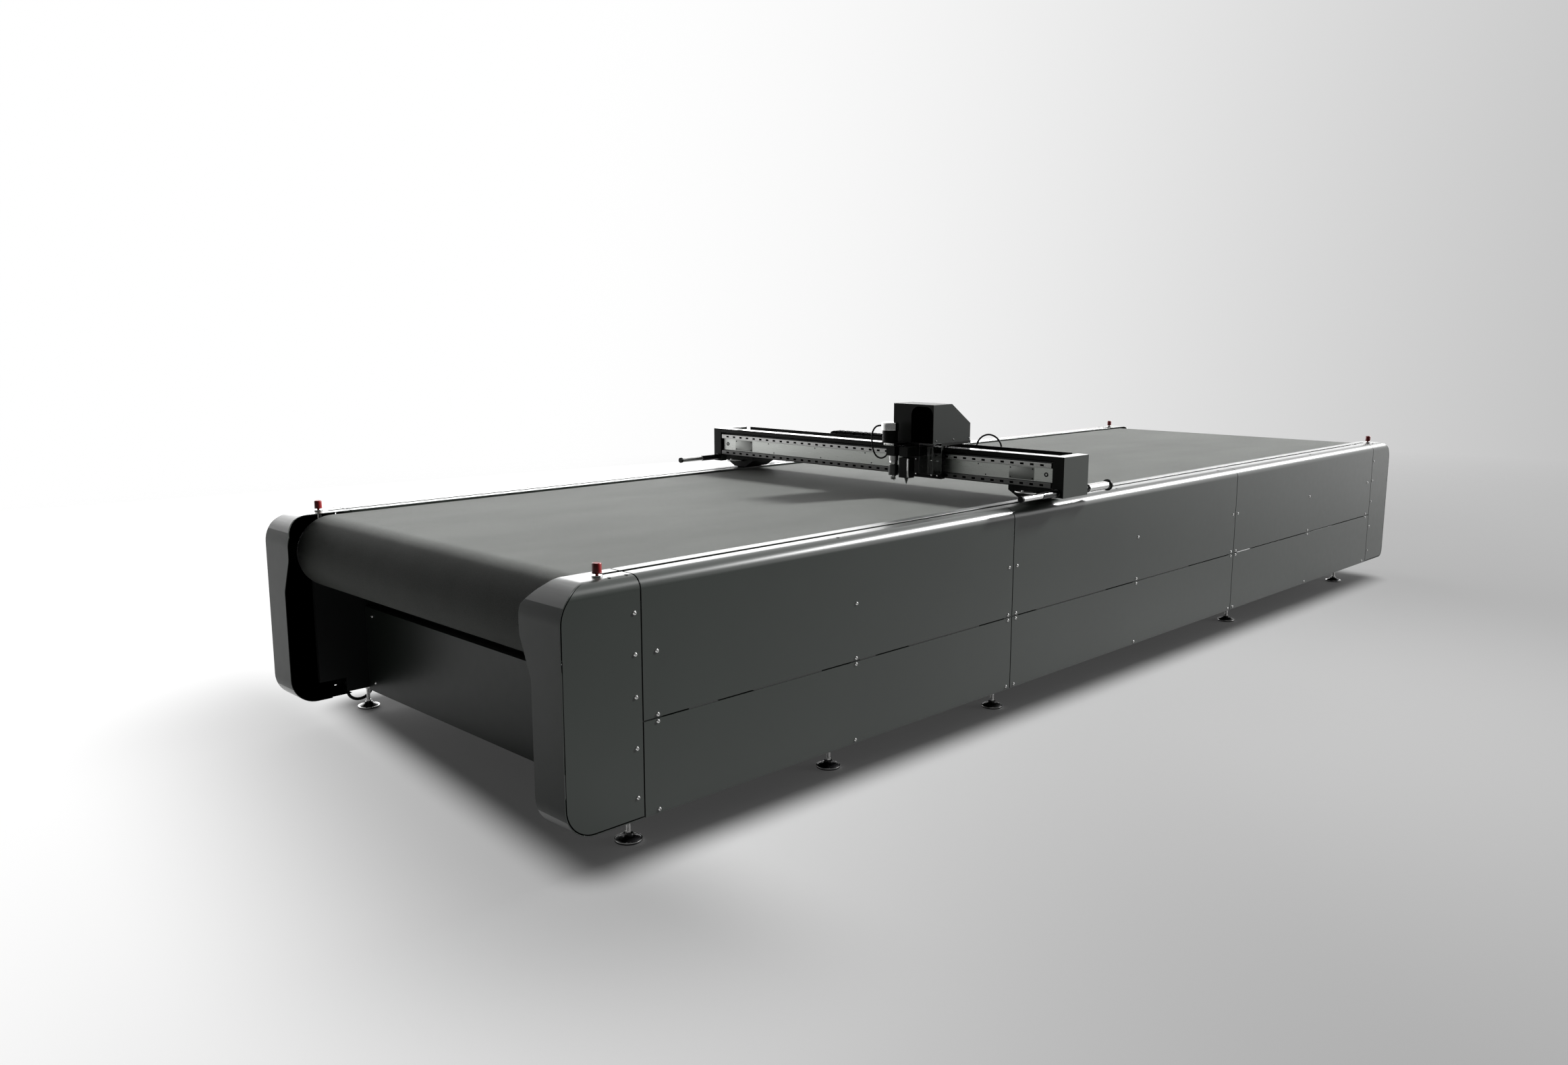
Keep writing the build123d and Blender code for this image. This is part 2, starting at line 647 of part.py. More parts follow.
def cap_outline(inset, top_inset, bottom_radius):
    """Side view of a far cap, set in from the front, the bottom and the top."""
    back = CAP_SEAM + PANEL_GAP / 2
    front = HALF_L - inset
    low = UNDERSIDE + inset
    high = TOP - top_inset
    bottom = FilletPolyline(
        (back, high), (front, high), (front, low), (back, low),
        radius=[CAP_TOP_RADIUS - top_inset, bottom_radius - inset])
    return make_face([*bottom.edges(), Line(bottom @ 1, bottom @ 0)])


def cap_section(inset):
    """End view of the left long edge with its rounding, set in by a sheet."""
    reach = HALF_W - inset
    path = FilletPolyline(
        (0, UNDERSIDE - SHEET), (reach, UNDERSIDE - SHEET), (reach, TOP - inset), (0, TOP - inset),
        radius=[SHEET, EDGE_RADIUS - inset])
    return make_face([*path.edges(), Line(path @ 1, path @ 0)])


def cap_opening():
    """Space between the caps: its side follows the lip over the belt edge."""
    lip = HALF_W - CAP_LIP_WIDTH
    foot = HALF_W - CAP_FOOT_WIDTH
    shoulder = TOP - LIP_SHOULDER_START
    path = FilletPolyline(
        (STRIP_EDGE, TOP + SHEET), (STRIP_EDGE, shoulder), (lip, TOP - LIP_SHOULDER_DROP), (lip, LIP_BEND_TOP),
        (foot, LIP_BEND_BOTTOM), (foot, 0),
        radius=[LIP_SHOULDER_RADIUS, LIP_SHOULDER_RADIUS, LIP_BEND_RADIUS, LIP_BEND_RADIUS])
    ends = [Line(path @ 1, (0, 0)), Line((0, 0), (0, TOP + SHEET)), Line((0, TOP + SHEET), path @ 0)]
    outline = make_face([*path.edges(), *ends])
    return extrude(Plane.YZ * outline, amount=LENGTH)


def far_cap(bottom_radius):
    """Front band and side plate of the far left cap."""
    y = (0.0, WIDTH)
    along = LENGTH
    outside = prism_xz(cap_outline(0.0, 0.0, bottom_radius), y)
    outside = outside & extrude(Plane.YZ * cap_section(0.0), amount=along)
    inside = prism_xz(cap_outline(SHEET, SHEET, bottom_radius), y)
    shell = outside - (inside & extrude(Plane.YZ * cap_section(SHEET), amount=along))
    shell = shell - cap_opening()
    band = shell - inside
    band = band - block((CAP_SEAM, STOP_X - SLOT_END_TO_STOP), (SLOT_IN, SLOT_OUT), around(TOP, EDGE_RADIUS))
    band = band - bar("Z", (STOP_X, STOP_Y), STOP_BODY_RADIUS + SCREW_HOLE_CLEAR, around(TOP, EDGE_RADIUS))
    band = band - block(
        (CAP_SEAM, HALF_L - CAP_BOTTOM_RETURN), (0.0, HALF_W - CAP_BOTTOM_FLANGE), around(UNDERSIDE, 2 * SHEET))
    plate = shell & prism_xz(cap_outline(SHEET + CAP_SEAM_GAP, SHEET, bottom_radius), y)
    screws = [place for place in cap_screws() if place[0] > 0]
    return band, drill_side(plate, screws, SCREW_RADIUS + SCREW_HOLE_CLEAR, EDGE_RADIUS)


def end_panel():
    """Folded sheet between the far caps."""
    reach = FRAME_IN - END_PANEL_SIDE_GAP
    back = END_PANEL_X - SHEET
    y = (-reach, reach)
    sheet = block((back, END_PANEL_X), y, (UNDERSIDE, END_BEAM_TOP + SHEET))
    sheet += block((END_PANEL_X - END_PANEL_RETURN, END_PANEL_X), y, (END_BEAM_TOP, END_BEAM_TOP + SHEET))
    sheet += block((END_PANEL_X - END_PANEL_RETURN, END_PANEL_X), y, (UNDERSIDE, UNDERSIDE + SHEET))
    hole = SCREW_RADIUS + SCREW_HOLE_CLEAR
    return sheet - [bar("X", place, hole, around(END_PANEL_X, END_PANEL_RETURN)) for place in end_screws()]


def edge_strip(with_duct):
    """Angle between the belt and the slot, seated on the rail beam, on the left side."""
    x = around(0.0, CAP_SEAM - PANEL_GAP / 2)
    strip = block(x, (STRIP_EDGE, SLOT_IN), (TOP - SHEET, TOP))
    strip += block(x, (STRIP_EDGE, FRAME_IN), (RAIL_BEAM_TOP - STRIP_WEB_SEAT, TOP))
    if with_duct:
        strip -= bar("Y", (DUCT_X, DUCT_TOP_Z), DUCT_RADIUS + DUCT_HOLE_CLEAR, around(FRAME_IN, BEARING_PLATE))
    return strip


def button_screw():
    """Domed screw along +Z with the underside of its head at the origin."""
    profile = Polyline(
        (0, -SCREW_LENGTH), (SCREW_RADIUS, -SCREW_LENGTH), (SCREW_RADIUS, 0), (SCREW_HEAD_RADIUS, 0),
        (SCREW_HEAD_RADIUS, SCREW_HEAD_RIM), (SCREW_CROWN_RADIUS, SCREW_HEAD_HEIGHT), (0, SCREW_HEAD_HEIGHT),
        close=True)
    return revolve(Plane.XZ * make_face(profile), axis=Axis.Z)


def panel_screws():
    """Screws of the side panels, the cap side plates and the end panels."""
    screw = button_screw()
    left = Rot(-90, 0, 0) * screw
    solids = []
    for x, z in [*upper_screws(), *lower_screws(), *cap_screws()]:
        solids.append(Pos(x, HALF_W, z) * left)
    solids = both_sides(solids)
    far = Rot(0, 90, 0) * screw
    ends = [Pos(END_PANEL_X, y, z) * far for y, z in end_screws()]
    return [*solids, *both_ends(ends)]


# Belt, bed, rollers


def racetrack(radius, y):
    """Rounded bar round both roller axes."""
    outline = Pos(0, ROLLER_Z) * SlotCenterToCenter(2 * ROLLER_X, 2 * radius)
    return prism_xz(outline, y)


def conveyor_belt():
    y = (-BELT_HALF, BELT_HALF)
    return racetrack(ROLLER_WRAP + BELT_THICKNESS, y) - racetrack(ROLLER_WRAP, (-WIDTH, WIDTH))


def vacuum_bed():
    """Hollow table under the belt, with the suction port in its left wall."""
    half = BED_LENGTH / 2
    y = BELT_HALF - BED_SIDE_GAP
    z = (CROSS_TOP, BELT_TOP - BELT_THICKNESS - BELT_CLEAR)
    outside = block((-half, half), (-y, y), z)
    reach = y - BED_WALL
    plenum = block(
        around(0.0, half - BED_WALL), (-reach, reach), (z[0] + BED_WALL, z[1] - BED_WALL))
    port = bar("Y", (DUCT_X, DUCT_TOP_Z), DUCT_RADIUS - DUCT_WALL, around(y, 2 * BED_WALL))
    return outside - plenum - port


def roller(drive):
    """Drum on a through shaft. The drive roller's shaft reaches into the gearbox on the right."""
    half = FRAME_IN - ROLLER_SIDE_CLEAR
    drum = bar("Y", (ROLLER_X, ROLLER_Z), ROLLER_RADIUS, (-half, half))
    drum -= bar("Y", (ROLLER_X, ROLLER_Z), ROLLER_RADIUS - ROLLER_WALL, around(0.0, half - ROLLER_DISC))
    for quarter in range(4):
        angle = quarter * pi / 2 + pi / 4
        place = (
            ROLLER_X + DISC_HOLE_PITCH_RADIUS * cos(angle), ROLLER_Z + DISC_HOLE_PITCH_RADIUS * sin(angle))
        drum -= bar("Y", place, DISC_HOLE_RADIUS, around(0.0, FRAME_IN))
    end = PLATE_OUT + BEARING_LENGTH + SHAFT_PAST_BEARING
    drive_end = INNER_W - GEARBOX_SIDE_GAP - SHAFT_PAST_BEARING
    return drum + bar("Y", (ROLLER_X, ROLLER_Z), SHAFT_RADIUS, (-drive_end if drive else -end, end))


def roller_bearing():
    """Flanged bearing unit on the outside of the far left bearing plate."""
    half = BEARING_FLANGE / 2
    y = (PLATE_OUT, PLATE_OUT + BEARING_LENGTH)
    unit = block(around(ROLLER_X, half), (y[0], y[0] + BEARING_FLANGE_THICK), around(ROLLER_Z, half))
    unit += bar("Y", (ROLLER_X, ROLLER_Z), BEARING_BOSS_RADIUS, y)
    return unit - bar("Y", (ROLLER_X, ROLLER_Z), SHAFT_RADIUS + SHAFT_CLEAR, around(y[0], BEARING_LENGTH * 2))


def belt_gearmotor():
    """Hollow-shaft gearbox on the far left roller end, with its motor hanging below."""
    inside = PLATE_OUT + BEARING_LENGTH + SHAFT_PAST_BEARING
    outside = INNER_W - GEARBOX_SIDE_GAP
    x = around(ROLLER_X, GEARBOX_HALF)
    low = ROLLER_Z - GEARBOX_BOTTOM
    box = block(x, (inside, outside), (low, ROLLER_Z + GEARBOX_TOP))
    box += block(x, (PLATE_OUT, outside), (low - ADAPTOR_HEIGHT, low))
    box -= bar("Y", (ROLLER_X, ROLLER_Z), SHAFT_RADIUS + SHAFT_CLEAR, (inside - BEARING_PLATE, outside - SHEET))
    motor_top = low - ADAPTOR_HEIGHT
    centre = (ROLLER_X, (PLATE_OUT + outside) / 2)
    motor = bar("Z", centre, DRIVE_MOTOR_RADIUS, (motor_top - DRIVE_MOTOR_LENGTH, motor_top))
    return [box, motor]


# Racks and pinions


def involute(angle):
    return tan(angle) - angle


def pinion_outline(module):
    """Pinion face with one tooth on +X. Its flanks are involutes down to the base circle."""
    pitch = module * PINION_TEETH / 2
    base = pitch * cos(PRESSURE_ANGLE)
    tip = pitch + PINION_ADDENDUM * module
    root = pitch - (RACK_ADDENDUM + TOOTH_CLEAR) * module
    half = pi / (2 * PINION_TEETH) - BACKLASH / (2 * pitch)
    flank = []
    for step in range(FLANK_STEPS + 1):
        radius = base + (tip - base) * step / FLANK_STEPS
        flank.append((radius, half + involute(PRESSURE_ANGLE) - involute(acos(base / radius))))
    flank.insert(0, (root, flank[0][1]))
    points = []
    for tooth in range(PINION_TEETH):
        middle = 2 * pi * tooth / PINION_TEETH
        low = [(r * cos(middle - a), r * sin(middle - a)) for r, a in flank]
        high = [(r * cos(middle + a), r * sin(middle + a)) for r, a in reversed(flank)]
        points.extend((*low, *high))
    return make_face(Polyline(*points, close=True))


def rack_outline(module, depth, span):
    """Rack face along X with its pitch line at Y = 0 and a tooth space at X = 0."""
    pitch = pi * module
    tip = RACK_ADDENDUM * module
    root = -(PINION_ADDENDUM + TOOTH_CLEAR) * module
    half_tip = pitch / 4 - BACKLASH / 2 - tip * tan(PRESSURE_ANGLE)
    half_root = pitch / 4 - BACKLASH / 2 - root * tan(PRESSURE_ANGLE)
    first = int(span[0] / pitch) + 1
    last = int(span[1] / pitch) - 1
    points = [(span[0], -depth), (span[0], root)]
    for tooth in range(first, last):
        middle = (tooth + 0.5) * pitch
        points.extend((
            (middle - half_root, root), (middle - half_tip, tip),
            (middle + half_tip, tip), (middle + half_root, root)))
    points.extend(((span[1], root), (span[1], -depth)))
    return make_face(Polyline(*points, close=True))


def drive_rack():
    """Rack on the left rail beam, teeth outwards, in mesh with the pinion at the gantry's place."""
    span = (-GUIDE_END - GANTRY_X, GUIDE_END - GANTRY_X)
    outline = rack_outline(DRIVE_MODULE, DRIVE_RACK_DEPTH, span)
    return Pos(GANTRY_X, DRIVE_RACK_PITCH_Y, RAIL_BEAM_TOP) * extrude(outline, amount=DRIVE_RACK_WIDTH)


def pinion(module, width, shaft):
    """Pinion on a short shaft upwards, its lower face at Z = 0."""
    return extrude(pinion_outline(module), amount=width) + bar("Z", (0, 0), PINION_SHAFT_RADIUS, (0, shaft))


def drive_pinion():
    """Pinion of the left gantry drive, one tooth pointing at the rack."""
    low = RAIL_BEAM_TOP + PINION_SEAT
    shaft = DRIVE_PLATE_HIGH - PINION_SEAT - low
    place = Pos(GANTRY_X, DRIVE_PINION_Y, low)
    return place * Rot(0, 0, -90) * pinion(DRIVE_MODULE, DRIVE_RACK_WIDTH, shaft)


def head_rack():
    """Rack along the top rear edge of the beam, teeth to the front."""
    span = (-HEAD_RAIL_HALF + HEAD_Y, HEAD_RAIL_HALF + HEAD_Y)
    outline = rack_outline(HEAD_MODULE, HEAD_RACK_DEPTH, span)
    turned = Rot(0, 0, 90) * extrude(outline, amount=HEAD_RACK_WIDTH)
    return Pos(HEAD_RACK_PITCH_X, HEAD_Y, BEAM_CORE_TOP) * mirror(turned, about=Plane.XZ)


def head_pinion():
    """Pinion of the head drive, one tooth pointing at the rack."""
    low = BEAM_CORE_TOP + PINION_SEAT
    shaft = HOUSING_BOTTOM - PINION_SEAT - low
    return Pos(HEAD_PINION_X, HEAD_Y, low) * pinion(HEAD_MODULE, HEAD_RACK_WIDTH, shaft)


def guide_rail(span, y, z):
    return block(span, around(y, GUIDE_WIDTH / 2), (z, z + GUIDE_HEIGHT))


def bearing_block(width):
    """Block that runs on a rail along X whose foot is on the XY plane."""
    body = block(around(0.0, BLOCK_LENGTH / 2), around(0.0, width / 2), (BLOCK_LIFT, BLOCK_HEIGHT))
    channel_half = GUIDE_WIDTH / 2 + BLOCK_CLEAR
    channel = block(around(0.0, BLOCK_LENGTH), around(0.0, channel_half), (0.0, GUIDE_HEIGHT + BLOCK_CLEAR))
    return body - channel


def gantry_blocks():
    """Blocks under the left gantry bracket."""
    return [
        Pos(GANTRY_X + step * BLOCK_SPREAD, SLOT_Y, RAIL_BEAM_TOP) * bearing_block(BLOCK_WIDTH)
        for step in (-1, 1)]


# Gantry


def gantry_bracket():
    """Bracket of the left side: plate on the blocks, web through the slot, saddle under the beam."""
    x = around(GANTRY_X, BRACKET_HALF)
    bracket = block(
        x, (SLOT_Y - BRACKET_REACH_IN, SLOT_Y + BRACKET_REACH_OUT), (DRIVE_PLATE_LOW, DRIVE_PLATE_HIGH))
    bracket += block(
        around(GANTRY_X, SADDLE_HALF), around(SLOT_Y, BRACKET_PLATE / 2), (DRIVE_PLATE_LOW, BEAM_BOTTOM))
    foot = TOP + SADDLE_RISE
    saddle = [
        (SADDLE_INNER_Y, BEAM_BOTTOM), (SADDLE_INNER_Y, BEAM_BOTTOM - SADDLE_EDGE),
        (SLOT_Y - SADDLE_FOOT_IN, foot), (SLOT_Y + SADDLE_FOOT_OUT, foot),
        (SADDLE_OUTER_Y, BEAM_BOTTOM - SADDLE_EDGE), (SADDLE_OUTER_Y, BEAM_BOTTOM)]
    bracket += prism_yz(saddle, around(GANTRY_X, SADDLE_HALF))
    shaft = (GANTRY_X, DRIVE_PINION_Y)
    return bracket - bar("Z", shaft, PINION_SHAFT_HOLE, around(DRIVE_PLATE_LOW, BLOCK_HEIGHT))


def gantry_motor():
    """Flat servo motor on the left bracket plate."""
    half = DRIVE_MOTOR_SQUARE / 2
    top = DRIVE_PLATE_HIGH + DRIVE_MOTOR_HEIGHT
    return block(around(GANTRY_X, half), around(DRIVE_PINION_Y, half), (DRIVE_PLATE_HIGH, top))


def gantry_beam():
    """Hollow beam across the bed."""
    y = around(0.0, BEAM_CORE_HALF)
    beam = block((BEAM_FACE, BEAM_REAR), y, (BEAM_BOTTOM, BEAM_CORE_TOP))
    bore = block(
        (BEAM_FACE + BEAM_WALL, BEAM_REAR - BEAM_WALL), y, (BEAM_BOTTOM + BEAM_WALL, BEAM_CORE_TOP - BEAM_WALL))
    return beam - bore


def beam_front_panel():
    """Pale cover strip between the two head rails."""
    rail = GUIDE_WIDTH / 2 + FRONT_PANEL_GAP
    z = (LOWER_RAIL_Z + rail, UPPER_RAIL_Z - rail)
    return block((BEAM_FACE - SHEET, BEAM_FACE), around(0.0, HEAD_RAIL_HALF), z)


def beam_top_cover():
    """Raised top sheet with a lip that hangs in front of the beam and a rear leg that stands on it."""
    y = around(0.0, BEAM_CORE_HALF)
    rear = BEAM_FRONT + COVER_DEPTH
    cover = block((BEAM_FRONT, rear), y, (BEAM_TOP - SHEET, BEAM_TOP))
    cover += block((rear - SHEET, rear), y, (BEAM_CORE_TOP, BEAM_TOP))
    return cover + block((BEAM_FRONT, BEAM_FRONT + SHEET), y, (BEAM_TOP - COVER_LIP, BEAM_TOP))


def head_rails():
    y = around(0.0, HEAD_RAIL_HALF)
    return [block((RAIL_FRONT, BEAM_FACE), y, around(z, GUIDE_WIDTH / 2)) for z in (UPPER_RAIL_Z, LOWER_RAIL_Z)]


def end_box():
    """Box over the left end of the beam, open towards the beam and closed below it."""
    outside = block((BEAM_FRONT, BEAM_REAR), (BEAM_CORE_HALF, BEAM_HALF_LENGTH), (END_BOX_BOTTOM, BEAM_TOP))
    x = (BEAM_FRONT + SHEET, BEAM_REAR - SHEET)
    far = BEAM_HALF_LENGTH - SHEET
    inside = block(x, (BEAM_CORE_HALF - SHEET, far), (BEAM_BOTTOM, BEAM_CORE_TOP))
    inside += block(x, (BEAM_CORE_HALF + SHEET, far), (END_BOX_BOTTOM + SHEET, BEAM_TOP - SHEET))
    radius = BUMPER_SLEEVE_RADIUS + SLEEVE_HOLE_CLEAR
    return outside - inside - bar("X", (BUMPER_Y, BUMPER_Z), radius, around(GANTRY_X, BEAM_DEPTH))


def bumper_sleeve(outer_length):
    """Guide sleeve of a bumper rod through the rear wall of the left end box."""
    centre = (BUMPER_Y, BUMPER_Z)
    start = BEAM_REAR - BUMPER_SLEEVE_IN_BOX
    end = BEAM_REAR + outer_length
    sleeve = bar("X", centre, BUMPER_SLEEVE_RADIUS, (start, end))
    sleeve += bar("X", centre, BUMPER_FLANGE_RADIUS, (BEAM_REAR, BEAM_REAR + BUMPER_FLANGE))
    return sleeve - bar("X", centre, BUMPER_ROD_RADIUS + PLUNGER_CLEAR, (start - SHEET, end + SHEET))


def bumper_rod(outer_length, reach):
    """Sprung rod in the rear sleeve of the left end box."""
    start = BEAM_REAR + outer_length - BUMPER_ROD_IN_SLEEVE
    return bar("X", (BUMPER_Y, BUMPER_Z), BUMPER_ROD_RADIUS, (start, BEAM_REAR + reach))


def front_bumper_rod():
    """Rod in front of the beam, with a buffer at its tip."""
    tip = BEAM_REAR + BUMPER_FRONT_REACH
    rod = bumper_rod(BUMPER_FRONT_SLEEVE, BUMPER_FRONT_REACH)
    rod += bar("X", (BUMPER_Y, BUMPER_Z), BUMPER_TIP_RADIUS, (tip - BUMPER_TIP, tip))
    return front_of_beam(rod)


def rear_bumper_rod():
    """Rod behind the beam, with a thick tube over it and a ring in front of the end cap."""
    centre = (BUMPER_Y, BUMPER_Z)
    start = BEAM_REAR + BUMPER_REAR_SLEEVE + BUMPER_TRAVEL + BUMPER_STOP_GAP
    ring = BEAM_REAR + BUMPER_REAR_REACH - BUMPER_END_CAP
    rod = bumper_rod(BUMPER_REAR_SLEEVE, BUMPER_REAR_REACH)
    rod += bar("X", centre, BUMPER_TUBE_RADIUS, (start, BEAM_REAR + BUMPER_REAR_REACH))
    return rod + bar("X", centre, BUMPER_RING_RADIUS, (ring - BUMPER_RING, ring))


def front_of_beam(solid):
    """Mirror image about the middle of the beam."""
    return mirror(solid, about=Plane(origin=(GANTRY_X, 0, 0), z_dir=(1, 0, 0)))


# Energy chain


def chain_tray():
    """Angle behind the beam that the chain lies on, with the two hose fittings."""
    y = around(0.0, TRAY_HALF_LENGTH)
    reach = BEAM_REAR + SHEET + TRAY_SIDE_GAP + CHAIN_WIDTH + TRAY_HOSE_SHELF
    tray = block((BEAM_REAR, BEAM_REAR + SHEET), y, (TRAY_Z, TRAY_Z + TRAY_LEG))
    tray += block((BEAM_REAR, reach), y, (TRAY_Z, TRAY_Z + SHEET))
    fittings = []
    for end in (HOSE_POINTS[0], HOSE_POINTS[-1]):
        fittings.append(bar("Z", (end[0], end[1]), HOSE_FITTING_RADIUS, (TRAY_Z + SHEET, HOSE_FITTING_TOP)))
    return [tray, *fittings]


def chain_link(place, length):
    """One hollow link along Y, open at its ends."""
    half = length / 2
    body = block(around(0.0, CHAIN_WIDTH / 2), (-half, half), around(0.0, CHAIN_HEIGHT / 2))
    inside = block(
        around(0.0, CHAIN_WIDTH / 2 - CHAIN_WALL), (-half, half), around(0.0, CHAIN_HEIGHT / 2 - CHAIN_WALL))
    return place * (body - inside)


def energy_chain():
    """Links from the fixed end on the tray, round the loop and back to the head."""
    links = []
    straight = CHAIN_LINK - CHAIN_LINK_GAP
    count = int((CHAIN_LOOP_Y - CHAIN_FIXED_Y) / CHAIN_LINK)
    for step in range(count):
        y = CHAIN_LOOP_Y - (step + 0.5) * CHAIN_LINK
        links.append(chain_link(Pos(CHAIN_X, y, CHAIN_LOW_Z), straight))
    bend = int(pi * (CHAIN_BEND - CHAIN_HEIGHT / 2) / CHAIN_LINK) + 1
    for step in range(bend):
        angle = (step + 0.5) * pi / bend - pi / 2
        y = CHAIN_LOOP_Y + CHAIN_BEND * cos(angle)
        z = CHAIN_LOW_Z + CHAIN_BEND * (1 + sin(angle))
        links.append(chain_link(Pos(CHAIN_X, y, z) * Rot(90 + degrees(angle), 0, 0), CHAIN_BEND_LINK))
    count = int((CHAIN_LOOP_Y - HEAD_Y - CARRIAGE_HALF_WIDTH) / CHAIN_LINK) + 1
    for step in range(count):
        y = CHAIN_LOOP_Y - (step + 0.5) * CHAIN_LINK
        links.append(chain_link(Pos(CHAIN_X, y, CHAIN_HIGH_Z), straight))
    return links


# Cutting head


def head_carriage():
    """Plate on the head rails with the deck over the beam, the tool arms and the chain tab."""
    y = around(HEAD_Y, CARRIAGE_HALF_WIDTH)
    body = block((CARRIAGE_FRONT, CARRIAGE_BACK), y, (CARRIAGE_BOTTOM, HOUSING_BOTTOM))
    body += block((HOUSING_FRONT_X, BEAM_REAR), y, (DECK_LOW, HOUSING_BOTTOM))
    tongue = (KNIFE_AXIS_Y - TONGUE_RIGHT, KNIFE_AXIS_Y + TONGUE_LEFT)
    body += block((TOOL_AXIS_X - TONGUE_FRONT, HOUSING_FRONT_X), tongue, (DECK_LOW, HOUSING_BOTTOM))
    chain_y = HEAD_Y + CARRIAGE_HALF_WIDTH
    body += block(
        (BEAM_REAR, CHAIN_X + CHAIN_WIDTH / 2), (chain_y - CHAIN_TAB_WIDTH, chain_y),
        (CHAIN_HIGH_Z + CHAIN_HEIGHT / 2, HOUSING_BOTTOM))
    for tool_y in (KNIFE_AXIS_Y, HEAD_Y):
        arm = (TOOL_AXIS_X - ARM_HALF, CARRIAGE_FRONT)
        body += block(arm, around(tool_y, ARM_HALF), (ARM_LOW, ARM_TOP))
    knife = (TOOL_AXIS_X, KNIFE_AXIS_Y)
    guide = (ARM_LOW - ARM_BUSH, ARM_TOP)
    body += bar("Z", knife, ARM_BUSH_RADIUS, (ARM_LOW - ARM_BUSH, ARM_LOW))
    body -= bar("Z", knife, QUILL_RADIUS + PLUNGER_CLEAR, guide)
    body -= bar("Z", (TOOL_AXIS_X, HEAD_Y), TOOL_SHAFT_RADIUS + PLUNGER_CLEAR, guide)
    body -= bar("Z", (HEAD_PINION_X, HEAD_Y), PINION_SHAFT_HOLE, around(DECK_LOW, BLOCK_HEIGHT))
    solids = [body]
    upright = Pos(BEAM_FACE, HEAD_Y, 0) * Rot(0, -90, 0) * Rot(0, 0, 90)
    for z in (UPPER_RAIL_Z, LOWER_RAIL_Z):
        for step in (-1, 1):
            solids.append(Pos(0, step * HEAD_BLOCK_SPREAD, z) * upright * bearing_block(HEAD_BLOCK_WIDTH))
    return solids


def housing_outline(inset):
    """Side view of the head housing, set in from every side but the bottom."""
    front = HOUSING_FRONT_X + inset
    rear = HOUSING_REAR_X - inset
    top = HOUSING_TOP - inset
    slope = hypot(HOUSING_CHAMFER_DEPTH, HOUSING_CHAMFER_DROP)
    back = rear + inset - HOUSING_CHAMFER_DEPTH - inset * (slope - HOUSING_CHAMFER_DEPTH) / HOUSING_CHAMFER_DROP
    low = HOUSING_TOP - HOUSING_CHAMFER_DROP - inset * (slope - HOUSING_CHAMFER_DROP) / HOUSING_CHAMFER_DEPTH
    points = ((front, HOUSING_BOTTOM), (front, top), (back, top), (rear, low), (rear, HOUSING_BOTTOM))
    return make_face(Polyline(*points, close=True))


def recess(grown):
    """Round-topped hollow in the front of the housing, on its right half."""
    y = (HOUSING_LOW_Y + RECESS_RIM - grown, HEAD_Y + RECESS_SPLIT + grown)
    top = HOUSING_TOP - RECESS_TOP_GAP + grown
    hollow = block((HOUSING_FRONT_X - SHEET, HOUSING_FRONT_X + RECESS_DEPTH + grown), y, (0.0, top))
    corners = hollow.edges().filter_by(Axis.X).group_by(Axis.Z)[-1]
    return fillet(corners, RECESS_RADIUS)


def head_housing():
    """Folded cover over the head drive, open at the bottom."""
    outside = prism_xz(housing_outline(0.0), (HOUSING_LOW_Y, HOUSING_HIGH_Y))
    inside = prism_xz(housing_outline(SHEET), (HOUSING_LOW_Y + SHEET, HOUSING_HIGH_Y - SHEET))
    return outside - recess(0.0) - (inside - recess(SHEET))


def tool_guard():
    """Clear sheet in front of the tools on the right, with a return along the side."""
    z = (GUARD_BOTTOM, HOUSING_BOTTOM)
    right = HEAD_Y - CARRIAGE_HALF_WIDTH
    front = (HOUSING_FRONT_X - GUARD_SHEET, HOUSING_FRONT_X)
    guard = block(front, (right - GUARD_SHEET, right - GUARD_SHEET + GUARD_WIDTH), z)
    return guard + block((front[0], front[1] + GUARD_RETURN), (right - GUARD_SHEET, right), z)


def head_motors():
    """Knife motor on the tongue and the head drive motor inside the housing."""
    top = HOUSING_BOTTOM + KNIFE_MOTOR_HEIGHT
    centre = (TOOL_AXIS_X, KNIFE_AXIS_Y + KNIFE_MOTOR_SHIFT)
    knife = bar("Z", centre, KNIFE_MOTOR_RADIUS, (HOUSING_BOTTOM, top - KNIFE_CAP_HEIGHT))
    knife += bar("Z", centre, KNIFE_CAP_RADIUS, (top - KNIFE_CAP_HEIGHT, top))
    half = HEAD_DRIVE_SQUARE / 2
    z = (HOUSING_BOTTOM, HOUSING_BOTTOM + HEAD_DRIVE_HEIGHT)
    return [knife, block(around(HEAD_PINION_X, half), around(HEAD_Y, half), z)]


def knife_quill():
    """Sliding spindle with the blade holder at its lower end."""
    centre = (TOOL_AXIS_X, KNIFE_AXIS_Y)
    low = QUILL_BOTTOM - HOLDER_HEIGHT
    quill = bar("Z", centre, QUILL_RADIUS, (QUILL_BOTTOM, QUILL_TOP))
    quill += bar("Z", centre, HOLDER_RADIUS, (low, QUILL_BOTTOM))
    socket = (low - SHEET, low + BLADE_SHANK_UP + SHEET)
    return quill - bar("Z", centre, BLADE_SHANK_RADIUS + SHAFT_CLEAR, socket)


